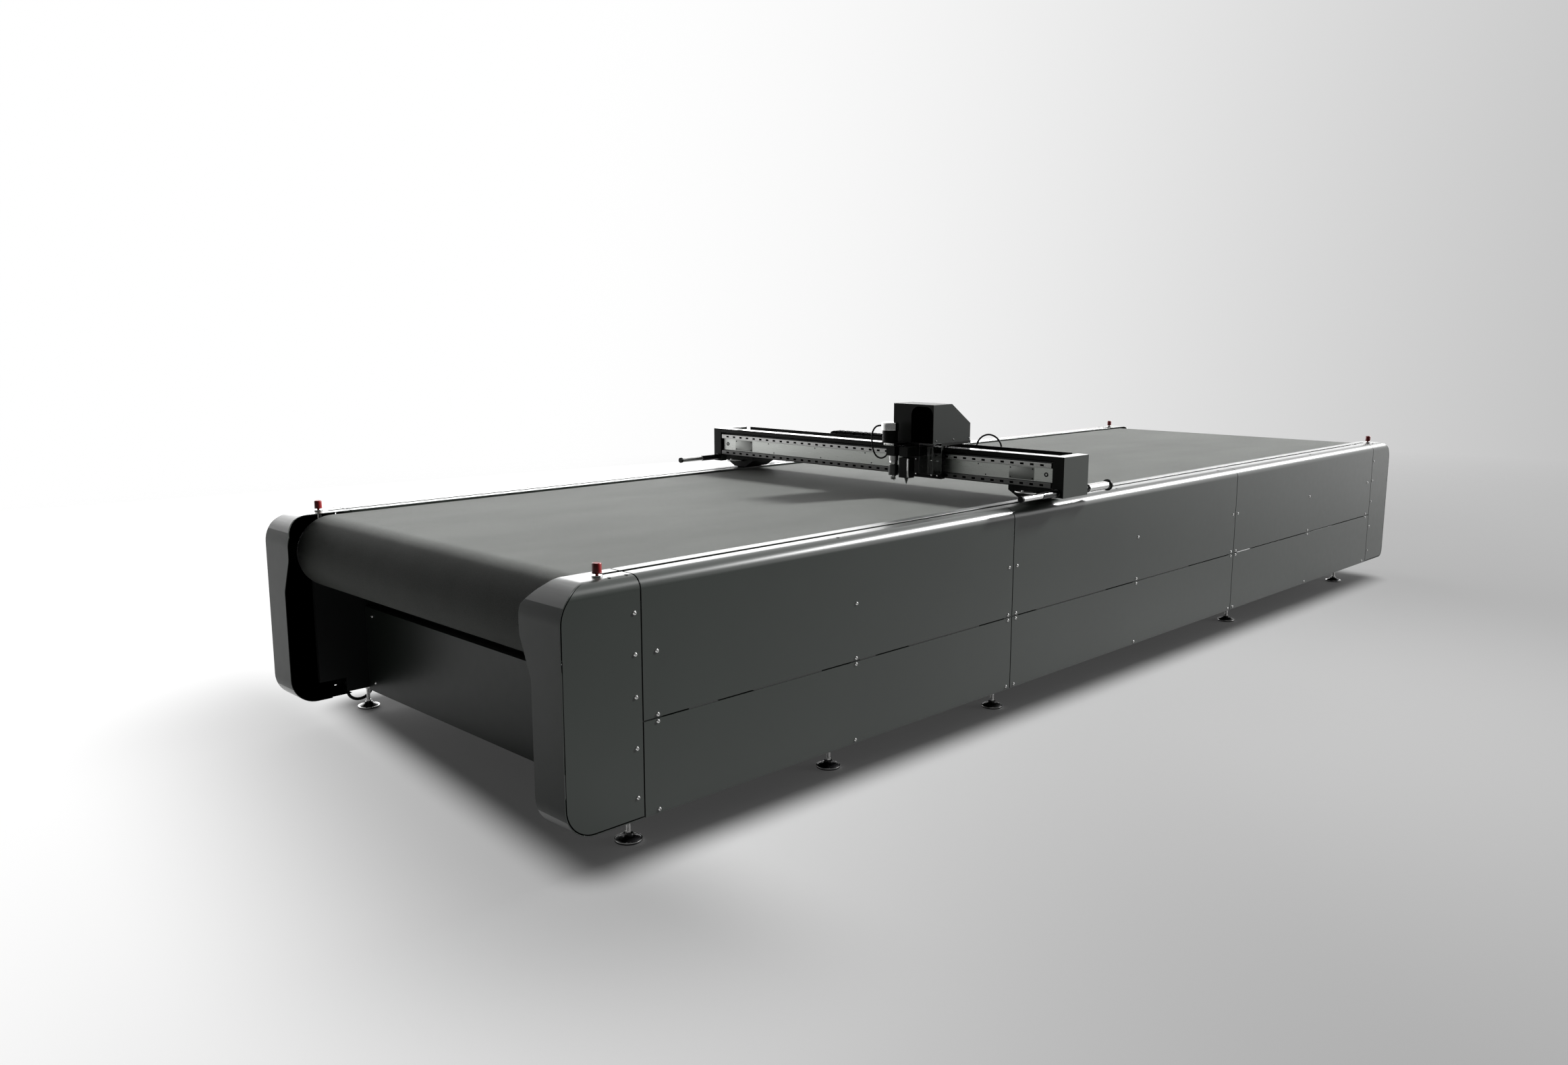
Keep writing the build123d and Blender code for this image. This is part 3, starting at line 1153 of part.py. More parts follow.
def knife_blade():
    """Blade with a round shank in the quill and a pointed edge below."""
    centre = (TOOL_AXIS_X, KNIFE_AXIS_Y)
    low = QUILL_BOTTOM - HOLDER_HEIGHT
    collar = low - PINION_SEAT - BLADE_COLLAR
    blade = bar("Z", centre, BLADE_SHANK_RADIUS, (collar, low + BLADE_SHANK_UP))
    blade += bar("Z", centre, BLADE_COLLAR_RADIUS, (collar, collar + BLADE_COLLAR))
    half = BLADE_WIDTH / 2
    edge = make_face(Polyline((-half, collar), (half, collar), (half, BLADE_TIP_Z), close=True))
    return blade + Pos(*centre, 0) * prism_xz(edge, around(0.0, BLADE_THICK / 2))


def second_tool():
    """Sliding marking tool: round shaft, square body and a tapered nose."""
    nose = Polyline(
        (0, TOOL_TIP_Z), (TOOL_TIP_RADIUS, TOOL_TIP_Z), (TOOL_NOSE_RADIUS, TOOL_BODY_BOTTOM),
        (0, TOOL_BODY_BOTTOM), close=True)
    tool = Pos(TOOL_AXIS_X, HEAD_Y, 0) * revolve(Plane.XZ * make_face(nose), axis=Axis.Z)
    depth = around(TOOL_AXIS_X, TOOL_BODY_DEPTH / 2)
    tool += block(depth, around(HEAD_Y, TOOL_BODY_WIDTH / 2), (TOOL_BODY_BOTTOM, TOOL_BODY_TOP))
    return tool + bar("Z", (TOOL_AXIS_X, HEAD_Y), TOOL_SHAFT_RADIUS, (TOOL_BODY_TOP, TOOL_SHAFT_TOP))


# Feet, stops, blower, cabinet, duct


def levelling_foot(x, y):
    """Pad, threaded stem and jam nut of one foot."""
    profile = Polyline(
        (0, 0), (PAD_RADIUS, 0), (PAD_RADIUS, PAD_RIM), (PAD_NECK_RADIUS, PAD_HEIGHT), (0, PAD_HEIGHT),
        close=True)
    pad = revolve(Plane.XZ * make_face(profile), axis=Axis.Z)
    stem = bar("Z", (0, 0), STEM_RADIUS, (PAD_HEIGHT, BOTTOM_RAIL_LOW + STEM_IN_RAIL))
    hexagon = RegularPolygon(NUT_FLATS / 2, 6, major_radius=False)
    nut = Pos(0, 0, BOTTOM_RAIL_LOW - NUT_HEIGHT) * extrude(hexagon, amount=NUT_HEIGHT)
    nut -= bar("Z", (0, 0), STEM_RADIUS + THREAD_CLEAR, (0, BOTTOM_RAIL_TOP))
    return [Pos(x, y, 0) * piece for piece in (pad, stem, nut)]


def levelling_feet():
    solids = []
    for side, stations in ((-1, FOOT_STATIONS_RIGHT), (1, FOOT_STATIONS_LEFT)):
        for x in stations:
            solids.extend(levelling_foot(x, side * FOOT_Y))
    return solids


def stop_base(x, y):
    """Collar and switch body of an emergency stop in the cap top."""
    base = bar("Z", (x, y), STOP_COLLAR_RADIUS, (TOP, TOP + STOP_COLLAR))
    base += bar("Z", (x, y), STOP_BODY_RADIUS, (TOP - STOP_BODY, TOP))
    bore = (TOP - STOP_STEM_DEPTH - STOP_TRAVEL - STOP_SPARE, TOP + 2 * STOP_COLLAR)
    return base - bar("Z", (x, y), STOP_STEM_RADIUS + PLUNGER_CLEAR, bore)


def stop_button(x, y):
    """Mushroom head on a stem that slides in the switch body."""
    low = TOP + STOP_COLLAR + STOP_TRAVEL + STOP_SPARE
    head = bar("Z", (x, y), STOP_RADIUS, (low, low + STOP_HEAD))
    return head + bar("Z", (x, y), STOP_STEM_RADIUS, (TOP - STOP_STEM_DEPTH, low))


def vacuum_duct():
    """Suction pipe from the bed wall, round the belt edge and back to the blower."""
    start = BELT_HALF - BED_SIDE_GAP
    path = FilletPolyline(
        (DUCT_X, start, DUCT_TOP_Z), (DUCT_X, DUCT_OUT_Y, DUCT_TOP_Z), (DUCT_X, DUCT_OUT_Y, DUCT_LOW_Z),
        (DUCT_X, BLOWER_FACE_Y, DUCT_LOW_Z), radius=DUCT_BEND)
    ring = Circle(DUCT_RADIUS) - Circle(DUCT_RADIUS - DUCT_WALL)
    return sweep(Plane(origin=path @ 0, z_dir=path % 0) * ring, path)


def vacuum_blower():
    """Side channel blower and its motor on two rails across the lower cross members."""
    centre = DUCT_X - BLOWER_HALF / 2
    x = around(centre, BLOWER_HALF)
    y = (BLOWER_FACE_Y - BLOWER_DEPTH, BLOWER_FACE_Y)
    rail_top = BOTTOM_RAIL_TOP + BLOWER_RAIL
    housing = block(x, y, (rail_top, BLOWER_TOP))
    housing -= bar("Y", (DUCT_X, DUCT_LOW_Z), DUCT_RADIUS - DUCT_WALL, around(y[1], BLOWER_RAIL))
    motor_z = rail_top + BLOWER_MOTOR_RADIUS
    motor = bar("Y", (centre, motor_z), BLOWER_MOTOR_RADIUS, (y[0] - BLOWER_MOTOR, y[0]))
    half = BLOWER_RAIL / 2
    middle = BLOWER_FACE_Y - BLOWER_DEPTH
    span = (SECTION_MIDDLE - half, END_BEAM_X + half)
    rails = []
    for step in (-1, 1):
        rail_y = around(middle + step * BLOWER_RAIL_SPREAD, half)
        rails.append(block(span, rail_y, (BOTTOM_RAIL_TOP, rail_top)))
    return [housing, motor, *rails]


def control_cabinet():
    """Drive cabinet and its door on the lower cross members."""
    half = CABINET_WIDTH / 2
    x = (-CROSS_SECTION / 2, MID_SEAM + CROSS_SECTION / 2)
    z = (BOTTOM_RAIL_TOP, BOTTOM_RAIL_TOP + CABINET_HEIGHT)
    box = block(x, (-half, half), z)
    box -= block((x[0] + SHEET, x[1] - SHEET), (-half - SHEET, half - SHEET), (z[0] + SHEET, z[1] - SHEET))
    door = block(x, (-half - CABINET_DOOR, -half), z)
    return [box, door]


# Cords


def route_radii(points):
    """Radius of the arc at each inner point of a cord's route."""
    radii = []
    for before, here, after in zip(points, points[1:], points[2:]):
        first = Vector(*here) - Vector(*before)
        second = Vector(*after) - Vector(*here)
        turn = radians(first.get_angle(second))
        radii.append(ARC_SHARE * min(first.length, second.length) / tan(turn / 2))
    return radii


def cord(name, points, radius):
    """Round cord along straight runs joined by tangent arcs."""
    radii = route_radii(points)
    path = FilletPolyline(*points, radius=radii)
    solid = sweep(Plane(origin=path @ 0, z_dir=path % 0) * Circle(radius), path)
    share = solid.volume / (pi * radius ** 2 * path.length)
    print(name, "length", round(path.length, 1), "volume share", round(share, 4))
    print(name, "radii in diameters", [round(value / (2 * radius), 1) for value in radii])
    return solid


def gland_places():
    """Upper end of each cable under the left bottom rail, with the cable's radius."""
    places = []
    for points, radius in ((SUPPLY_POINTS, SUPPLY_RADIUS), (SIGNAL_POINTS, SIGNAL_RADIUS)):
        places.extend(((points[0], radius), (points[-1], radius)))
    return places


def cable_glands():
    """Cups through the left bottom rail that the cables end in."""
    solids = []
    low = BOTTOM_RAIL_LOW - GLAND_HEIGHT
    for (x, y, z), radius in gland_places():
        cup = bar("Z", (x, y), GLAND_RADIUS, (low, z + GLAND_END))
        solids.append(cup - bar("Z", (x, y), radius + GLAND_CLEAR, (low - GLAND_END, z)))
    return solids


def base_nodes():
    """Nodes that stand still."""
    right_frame = side_frame(FOOT_STATIONS_RIGHT, False)
    save("side_frame_right", [other_side(solid) for solid in right_frame])
    save("side_frame_left", side_frame(FOOT_STATIONS_LEFT, True))
    save("cross_members", cross_members())
    upper = [upper_panel(span) for span in panel_sections()]
    save("upper_panels_left", upper)
    save("upper_panels_right", [other_side(solid) for solid in upper])
    lower = [lower_panel(span) for span in panel_sections()]
    save("lower_panels_left", lower)
    save("lower_panels_right", [other_side(solid) for solid in lower])
    far_band, far_plate = far_cap(FAR_BOTTOM_RADIUS)
    near_band, near_plate = far_cap(NEAR_BOTTOM_RADIUS)
    save("end_caps", both_sides([far_band, other_end(near_band)]))
    save("cap_side_plates", both_sides([far_plate, other_end(near_plate)]))
    save("end_panels", both_ends([end_panel()]))
    save("belt_edge_strips", [edge_strip(True), other_side(edge_strip(False))])
    save("panel_screws", panel_screws())
    save("vacuum_bed", [vacuum_bed()])
    save("conveyor_belt", [conveyor_belt()])
    save("roller_bearings", both_ends(both_sides([roller_bearing()])))
    save("belt_gearmotor", [other_end(other_side(solid)) for solid in belt_gearmotor()])
    rail = guide_rail(around(0.0, GUIDE_END), SLOT_Y, RAIL_BEAM_TOP)
    save("gantry_rails", both_sides([rail]))
    save("gantry_racks", both_sides([drive_rack()]))
    save("levelling_feet", levelling_feet())
    save("vacuum_blower", vacuum_blower())
    save("vacuum_duct", [vacuum_duct()])
    save("control_cabinet", control_cabinet())
    places = [(x, y) for x in (-STOP_X, STOP_X) for y in (-STOP_Y, STOP_Y)]
    save("estop_bases", [stop_base(x, y) for x, y in places])
    save("cable_glands", cable_glands())
    save("supply_cable", [cord("supply_cable", SUPPLY_POINTS, SUPPLY_RADIUS)])
    save("signal_cable", [cord("signal_cable", SIGNAL_POINTS, SIGNAL_RADIUS)])


def base_moving_nodes():
    """Rollers and stop buttons, which move on the base."""
    save("drive_roller", [other_end(roller(True))])
    save("idler_roller", [roller(False)])
    for end, x in (("near", -STOP_X), ("far", STOP_X)):
        for side, y in (("right", -STOP_Y), ("left", STOP_Y)):
            save(f"estop_button_{end}_{side}", [stop_button(x, y)])


def gantry_nodes():
    """Nodes that travel along the bed."""
    save("gantry_beam", [gantry_beam()])
    save("beam_front_panel", [beam_front_panel()])
    save("beam_top_cover", [beam_top_cover()])
    save("gantry_end_boxes", both_sides([end_box()]))
    save("gantry_carriages", both_sides([gantry_bracket()]))
    save("rail_bearing_blocks", both_sides(gantry_blocks()))
    save("head_rails", head_rails())
    save("head_rack", [head_rack()])
    save("gantry_motors", both_sides([gantry_motor()]))
    save("chain_tray", chain_tray())
    save("energy_chain", energy_chain())
    save("beam_hose", [cord("beam_hose", HOSE_POINTS, HOSE_RADIUS)])
    save("bumper_sleeves", both_sides([
        bumper_sleeve(BUMPER_REAR_SLEEVE), front_of_beam(bumper_sleeve(BUMPER_FRONT_SLEEVE))]))
    for end, rod in (("front", front_bumper_rod()), ("rear", rear_bumper_rod())):
        save(f"bumper_rod_{end}_left", [rod])
        save(f"bumper_rod_{end}_right", [other_side(rod)])
    save("pinion_left", [drive_pinion()])
    save("pinion_right", [other_side(drive_pinion())])


def head_nodes():
    """Nodes that travel along the beam."""
    save("head_carriage", head_carriage())
    save("head_housing", [head_housing()])
    save("tool_guard", [tool_guard()])
    save("head_motors", head_motors())
    save("head_cable", [cord("head_cable", HEAD_CABLE_POINTS, HEAD_CABLE_RADIUS)])
    save("head_pinion", [head_pinion()])
    save("knife_quill", [knife_quill()])
    save("knife_blade", [knife_blade()])
    save("second_tool", [second_tool()])


os.makedirs("parts", exist_ok=True)
base_nodes()
base_moving_nodes()
gantry_nodes()
head_nodes()
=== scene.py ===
import math

import bmesh
import bpy
from bpy.props import FloatProperty, FloatVectorProperty, IntProperty, PointerProperty
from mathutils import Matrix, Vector


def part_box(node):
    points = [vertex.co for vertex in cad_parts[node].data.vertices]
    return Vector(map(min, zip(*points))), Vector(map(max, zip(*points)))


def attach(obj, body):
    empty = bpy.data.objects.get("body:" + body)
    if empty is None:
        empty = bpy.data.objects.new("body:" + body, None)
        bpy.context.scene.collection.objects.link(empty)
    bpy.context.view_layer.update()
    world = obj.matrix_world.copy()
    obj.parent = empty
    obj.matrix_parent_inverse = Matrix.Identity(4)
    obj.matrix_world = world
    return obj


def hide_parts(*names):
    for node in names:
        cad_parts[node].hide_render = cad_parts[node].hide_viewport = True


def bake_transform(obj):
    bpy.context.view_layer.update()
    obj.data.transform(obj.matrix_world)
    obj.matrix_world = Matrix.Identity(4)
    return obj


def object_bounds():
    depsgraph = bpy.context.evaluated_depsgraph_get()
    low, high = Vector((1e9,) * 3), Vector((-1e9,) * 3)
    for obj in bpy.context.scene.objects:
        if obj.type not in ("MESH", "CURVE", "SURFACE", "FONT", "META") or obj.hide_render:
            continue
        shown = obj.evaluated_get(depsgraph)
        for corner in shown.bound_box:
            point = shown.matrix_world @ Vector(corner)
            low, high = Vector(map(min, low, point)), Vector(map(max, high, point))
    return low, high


bl_info = {
    "name": "Flatbed conveyor cutter",
    "version": (1, 0, 0),
    "blender": (4, 5, 0),
    "location": "View3D > Sidebar > Flatbed",
    "description": "Dresses the packed flatbed cutter: paint, felt belt, gantry, knife head and feet",
    "category": "Object",
}

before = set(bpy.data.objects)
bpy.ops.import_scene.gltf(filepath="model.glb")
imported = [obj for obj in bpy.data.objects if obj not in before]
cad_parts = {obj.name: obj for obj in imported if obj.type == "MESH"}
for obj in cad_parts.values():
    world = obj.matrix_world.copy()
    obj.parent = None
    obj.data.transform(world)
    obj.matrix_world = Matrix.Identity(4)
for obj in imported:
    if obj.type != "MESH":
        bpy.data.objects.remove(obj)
CAD_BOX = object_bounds()

PHOTO_WIDTH = 2324
SENSOR_MM = 36.0
WHITE = (1.0, 1.0, 1.0, 1.0)
X, Y, Z = 0, 1, 2
UP = (0, 0, 1)
FRONT = (-1, 0, 0)
LEFT = (0, 1, 0)
SIDES = (-1, 1)


# Settings


def colour(name, description, default):
    """Colour property, written as scene-linear values."""
    return FloatVectorProperty(
        name=name, description=description, subtype="COLOR", size=3, min=0.0, max=1.0, default=default)


def length(name, description, default):
    """Length property in metres."""
    return FloatProperty(
        name=name, description=description, default=default, min=0.0, unit="LENGTH", precision=4)


def power(name, description, default):
    """Power property in watts."""
    return FloatProperty(name=name, description=description, default=default, min=0.0, unit="POWER")


def bearing(name, description, degrees):
    """Angle property."""
    return FloatProperty(name=name, description=description, default=math.radians(degrees), subtype="ANGLE")


class FlatbedFinishes(bpy.types.PropertyGroup):
    """Colours of the machine's finishes."""

    body_paint: colour("Body paint", "Satin anthracite of the side panels and caps", (0.030, 0.037, 0.032))
    frame_paint: colour("Frame paint", "Paint of the welded frame inside", (0.012, 0.013, 0.013))
    belt_felt: colour("Belt felt", "Felt of the conveyor belt", (0.170, 0.178, 0.166))
    gantry_black: colour("Gantry black", "Black paint of the beam cover and the head", (0.009, 0.010, 0.009))
    # Lighter grey on the end boxes' sides stands in for light falling there: painted light.
    box_side_painted_light: colour("Box grey", "Anthracite paint of the end boxes", (0.080, 0.087, 0.081))
    # Grey of the housing's sides; its front is painted darker as painted shade.
    housing_grey: colour("Housing grey", "Anthracite paint of the head housing", (0.038, 0.042, 0.039))
    panel_pale: colour("Pale panel", "Brushed front panel of the gantry beam", (0.68, 0.70, 0.67))
    bright_metal: colour("Bright metal", "Polished brackets, rods and screws", (0.78, 0.78, 0.77))
    rail_steel: colour("Rail steel", "Ground steel of rails, racks and shafts", (0.58, 0.58, 0.57))
    beam_metal: colour("Beam metal", "Anodised beam behind the rails", (0.050, 0.052, 0.052))
    stop_red: colour("Stop red", "Heads of the emergency stops", (0.30, 0.010, 0.012))
    cord_black: colour("Cord black", "Sheaths of cables and hoses", (0.012, 0.012, 0.012))
    plastic_black: colour("Black plastic", "Energy chain, sleeves, glands and pads", (0.014, 0.014, 0.015))
    clear_guard: colour("Clear guard", "Tint of the clear guard at the tools", (0.86, 0.89, 0.87))


class FlatbedSizes(bpy.types.PropertyGroup):
    """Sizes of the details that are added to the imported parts."""

    screw_head: length("Screw head", "Radius of a panel screw's head", 0.0065)
    screw_height: length("Screw height", "Height of a panel screw's domed head", 0.0040)
    screw_socket: length("Screw socket", "Radius of the hexagon socket in a screw head", 0.0029)
    cap_pitch: length("Rail cap pitch", "Distance between the bolt caps along a head rail", 0.050)
    cap_length: length("Rail cap length", "Length of a bolt cap in a head rail", 0.0190)
    cap_height: length("Rail cap height", "Height of a bolt cap in a head rail", 0.0095)
    thread_pitch: length("Thread pitch", "Pitch of the thread on the foot stems", 0.0040)
    round_steps: IntProperty(
        name="Round steps", description="Segments of a turned piece", default=32, min=8, max=96)


class FlatbedStage(bpy.types.PropertyGroup):
    """Camera, light and floor."""

    camera_place: FloatVectorProperty(
        name="Camera place", description="Where the camera stands", subtype="TRANSLATION", size=3,
        unit="LENGTH", default=(-5.1192, -3.7840, 1.5631))
    camera_yaw: bearing("Camera yaw", "Heading of the camera from +Y towards +X", 44.992)
    camera_pitch: bearing("Camera pitch", "Slope of the camera's view", -9.472)
    focal_pixels: FloatProperty(
        name="Focal length", description="Focal length in pixels of the full frame", default=1797.2,
        min=100.0)
    key_strength: FloatProperty(
        name="Key light", description="Strength of the light from behind", default=4.9, min=0.0)
    fill_strength: FloatProperty(
        name="Fill light", description="Strength of the broad light from behind", default=0.20, min=0.0)
    panel_power: power("Bright panel", "Power of the bright panel at the back on the left", 420.0)
    far_power: power("Far panel", "Power of the panel far behind on the right", 283.0)
    side_power: power("Side light", "Power of the soft light far on the right", 85.0)
    floor_colour: colour("Floor", "Pale studio floor", (0.50, 0.50, 0.50))


def finishes():
    return bpy.context.scene.flatbed_finishes


def sizes():
    return bpy.context.scene.flatbed_sizes


def stage_settings():
    return bpy.context.scene.flatbed_stage


# Materials


def configure(item, **settings):
    """Item with its settings."""
    for name, value in settings.items():
        setattr(item, name, value)
    return item


def shade(base, factor):
    """Darker or lighter shade of a colour."""
    return tuple(min(1.0, channel * factor) for channel in base)


class NodeKit:
    """Adds nodes to a node tree. Each input takes a plain value or the output of another node."""

    def __init__(self, tree):
        self.nodes = tree.nodes
        self.links = tree.links

    def fill(self, node, inputs):
        """Values and links for a node's inputs."""
        for name, value in inputs.items():
            if isinstance(value, bpy.types.NodeSocket):
                self.links.new(value, node.inputs[name])
            else:
                node.inputs[name].default_value = value

    def add(self, kind, output, inputs=None, **settings):
        """New node with its settings and inputs, known by one of its outputs."""
        node = configure(self.nodes.new("ShaderNode" + kind), **settings)
        self.fill(node, inputs or {})
        return node.outputs[output]

    def math(self, operation, first, second=0.0):
        return self.add("Math", "Value", {0: first, 1: second}, operation=operation)

    def along(self, vector, direction):
        """How far a vector goes along a direction."""
        return self.add("VectorMath", "Value", {0: vector, 1: direction}, operation="DOT_PRODUCT")

    def distance(self, vector, point):
        """How far a place is from a point."""
        return self.add("VectorMath", "Value", {0: vector, 1: point}, operation="DISTANCE")

    def span(self, value, low, high, start=0.3, end=0.7, blend="LINEAR"):
        """Value moved from one range into another."""
        ranges = {"Value": value, "From Min": start, "From Max": end, "To Min": low, "To Max": high}
        return self.add("MapRange", "Result", ranges, interpolation_type=blend)

    def ramp(self, value, start, end, low, high):
        """Smooth step from one value to another."""
        return self.span(value, low, high, start, end, "SMOOTHSTEP")

    def seen_directly(self):
        """One for rays from the camera, from a mirror and through glass, else zero."""
        path = self.nodes.new("ShaderNodeLightPath").outputs
        mirror = self.math("MAXIMUM", path["Is Camera Ray"], path["Is Glossy Ray"])
        return self.math("MAXIMUM", mirror, path["Is Transmission Ray"])


class Finish(NodeKit):
    """One procedural material: its shader, its coordinates and the nodes that feed them."""

    def __init__(self, name):
        self.material = bpy.data.materials.new(name)
        self.material.use_nodes = True
        super().__init__(self.material.node_tree)
        self.shader = self.nodes["Principled BSDF"]
        self.place = self.add("TexCoord", "Object")

    def mapped(self, scale):
        """Object coordinates stretched by a scale for each axis."""
        return self.add("Mapping", "Vector", {"Vector": self.place, "Scale": scale})

    def noise(self, scale, detail=4.0, stretch=None):
        """Noise value over the surface."""
        place = self.mapped(stretch) if stretch else self.place
        return self.add("TexNoise", "Fac", {"Vector": place, "Scale": scale, "Detail": detail})

    def tint(self, value, base, dark, light, start=0.3, end=0.7):
        """Base colour between a darker and a lighter shade by a value."""
        factor = self.span(value, 0.0, 1.0, start, end)
        shades = {"Factor": factor, "A": (*shade(base, dark), 1.0), "B": (*shade(base, light), 1.0)}
        return self.add("Mix", "Result", shades, data_type="RGBA")

    def bump(self, value, strength, distance):
        """Small relief from a value."""
        return self.add("Bump", "Normal", {"Height": value, "Strength": strength, "Distance": distance})


def paint_finish(name, base, roughness, specular=0.5, coat=0.0, coat_ior=1.5, coat_rough=0.18):
    """Satin paint: fine orange peel, slow drift of shade and gloss, and a clear coat where it has one."""
    finish = Finish(name)
    finish.fill(finish.shader, {
        "Base Color": finish.tint(finish.noise(1.7, 3.0), base, 0.92, 1.08),
        "Roughness": finish.span(finish.noise(24.0, 6.0), roughness - 0.02, roughness + 0.02),
        "Specular IOR Level": specular,
        "Coat Weight": coat,
        "Coat Roughness": coat_rough,
        "Coat IOR": coat_ior,
        "Normal": finish.bump(finish.noise(900.0, 2.0), 0.03, 0.0004),
    })


def metal_finish(name, base, roughness, stretch, drift=0.15, relief=0.06):
    """Ground or polished metal with fine lines along one axis."""
    finish = Finish(name)
    lines = finish.noise(90.0, 3.0, stretch)
    finish.fill(finish.shader, {
        "Base Color": finish.tint(lines, base, 1 - drift, 1 + drift / 2),
        "Roughness": finish.span(lines, roughness * 0.75, roughness * 1.3),
        "Metallic": 1.0,
        "Normal": finish.bump(lines, relief, 0.0002),
    })


def plastic_finish(name, base, roughness, specular=0.5):
    """Moulded plastic or rubber with a spark-eroded grain."""
    finish = Finish(name)
    cells = finish.noise(1400.0, 2.0)
    finish.fill(finish.shader, {
        "Base Color": finish.tint(finish.noise(40.0), base, 0.8, 1.25),
        "Roughness": finish.span(cells, roughness - 0.06, roughness + 0.08),
        "Specular IOR Level": specular,
        "Normal": finish.bump(cells, 0.10, 0.0003),
    })


def felt_finish(name, base):
    """Needled felt: short fibres, soft patches from use and a dull sheen."""
    finish = Finish(name)
    fibre = finish.noise(2600.0)
    pile = finish.noise(420.0, 6.0)
    patch = finish.noise(1.3, 3.0, (1.0, 2.2, 1.0))
    mixed = finish.math("MULTIPLY", finish.span(pile, 0.72, 1.18), finish.span(patch, 0.86, 1.12))
    mixed = finish.math("MULTIPLY", mixed, finish.span(fibre, 0.82, 1.15))
    finish.fill(finish.shader, {
        "Base Color": finish.tint(mixed, base, 0.45, 1.6, 0.4, 1.5),
        "Roughness": finish.span(pile, 0.56, 0.70),
        "Sheen Weight": 0.10,
        "Sheen Roughness": 0.40,
        "Specular IOR Level": 0.16,
        "Normal": finish.bump(finish.math("MULTIPLY", pile, fibre), 0.55, 0.0012),
    })


def clear_finish(name, base):
    """Clear sheet with faint wipe marks."""
    finish = Finish(name)
    wipe = finish.noise(60.0, 5.0, (1.0, 6.0, 1.0))
    finish.fill(finish.shader, {
        "Base Color": finish.tint(wipe, base, 0.94, 1.0),
        "Roughness": finish.span(wipe, 0.02, 0.10),
        "Transmission Weight": 1.0,
        "IOR": 1.49,
        "Normal": finish.bump(finish.noise(34.0, 3.0, (1.0, 1.0, 0.16)), 0.5, 0.006),
    })


def finish_of(name):
    return bpy.data.materials[name]


def make_finishes():
    """Every finish of the machine, by name."""
    tone = finishes()
    along_x, along_y, brushed = (0.2, 6.0, 6.0), (6.0, 0.2, 6.0), (2.0, 0.15, 6.0)
    paint_finish("body paint", tone.body_paint, 0.38, 0.15, 1.0, 1.45, 0.27)
    paint_finish("cap paint", tone.body_paint, 0.42, 0.15, 0.3, 1.3, 0.28)
    paint_finish("frame paint", tone.frame_paint, 0.55, 0.3)
    paint_finish("gantry black", tone.gantry_black, 0.50, 0.15)
    paint_finish("cover gloss", tone.gantry_black, 0.30, 0.5, 1.0, 1.5, 0.12)
    # Lighter grey of the end boxes' sides: painted light.
    paint_finish("box side painted light", tone.box_side_painted_light, 0.45, 0.20)
    paint_finish("housing grey", tone.housing_grey, 0.45, 0.20)
    paint_finish("cabinet paint", shade(tone.panel_pale, 0.5), 0.5)
    # Near-black without gloss: painted shade in the housing's recess and inside the caps, and the plain black
    # of the rail bolt caps.
    paint_finish("matte black and painted shade", shade(tone.gantry_black, 0.15), 0.90, 0.0)
    paint_finish("motor paint", shade(tone.gantry_black, 1.4), 0.34, 0.3)
    metal_finish("pale panel", tone.panel_pale, 0.34, brushed, 0.05, 0.02)
    metal_finish("panel plate", shade(tone.panel_pale, 0.48), 0.40, brushed, 0.05, 0.02)
    metal_finish("bright metal", tone.bright_metal, 0.16, (1.0, 1.0, 8.0))
    metal_finish("screw steel", tone.bright_metal, 0.22, (1.0, 1.0, 1.0))
    metal_finish("rail steel", tone.rail_steel, 0.30, along_y)
    # Rail steel darkened for the lower head rail: painted shade.
    metal_finish("rail steel painted shade", shade(tone.rail_steel, 0.28), 0.34, along_y)
    metal_finish("guide steel", tone.rail_steel, 0.30, along_x)
    metal_finish("turned steel", tone.rail_steel, 0.32, (8.0, 1.0, 8.0))
    metal_finish("beam metal", tone.beam_metal, 0.45, along_y)
    metal_finish("bed aluminium", tone.bright_metal, 0.42, along_x)
    metal_finish("carriage metal", tone.rail_steel, 0.36, (6.0, 6.0, 0.6))
    plastic_finish("black plastic", tone.plastic_black, 0.48, 0.25)
    plastic_finish("chain black", shade(tone.plastic_black, 0.4), 0.55, 0.08)
    plastic_finish("sleeve gloss", tone.plastic_black, 0.18)
    plastic_finish("cord sheath", shade(tone.cord_black, 0.5), 0.45, 0.15)
    plastic_finish("duct plastic", shade(tone.plastic_black, 5.0), 0.5)
    plastic_finish("stop red", tone.stop_red, 0.30)
    plastic_finish("pad black", tone.plastic_black, 0.24)
    plastic_finish("guard rim", shade(tone.clear_guard, 0.75), 0.30)
    felt_finish("belt felt", tone.belt_felt)
    clear_finish("clear guard", tone.clear_guard)


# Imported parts

BODY_ROUND = 0.0009
PART_ROUND = 0.0015
ROD_ROUND = 0.0010
TRIM_ROUND = 0.0008
RAIL_ROUND = 0.0006
WELD_GAP = 0.00002

BETWEEN_RAILS_Z = 0.95
HOLDER_TOP = 0.9672
TOOL_FOOT_TOP = 0.9139
FRONT_ROD_TIP_X = -1.0379
REAR_ROD_STEM_X = -0.5497
BUMPER_Y, BUMPER_Z = 1.052, 0.894


def square_to(axis):
    """Test for faces square to an axis, on either side."""
    return lambda centre, normal: abs(normal[axis]) > 0.9


def facing(axis, sign):
    """Test for faces that look along an axis."""
    return lambda centre, normal: normal[axis] * sign > 0.9


def short_of(axis, limit):
    """Test for faces that lie short of a place along an axis."""
    return lambda centre, normal: centre[axis] < limit


def cap_inside_faces(centre, normal):
    """Floors and inner walls of the end caps."""
    floor = normal.z > 0.7 and centre.z < 0.2
    wall = normal.y * centre.y < -0.5 and abs(centre.y) > 0.99
    return floor or wall or normal.x * centre.x < -2.0


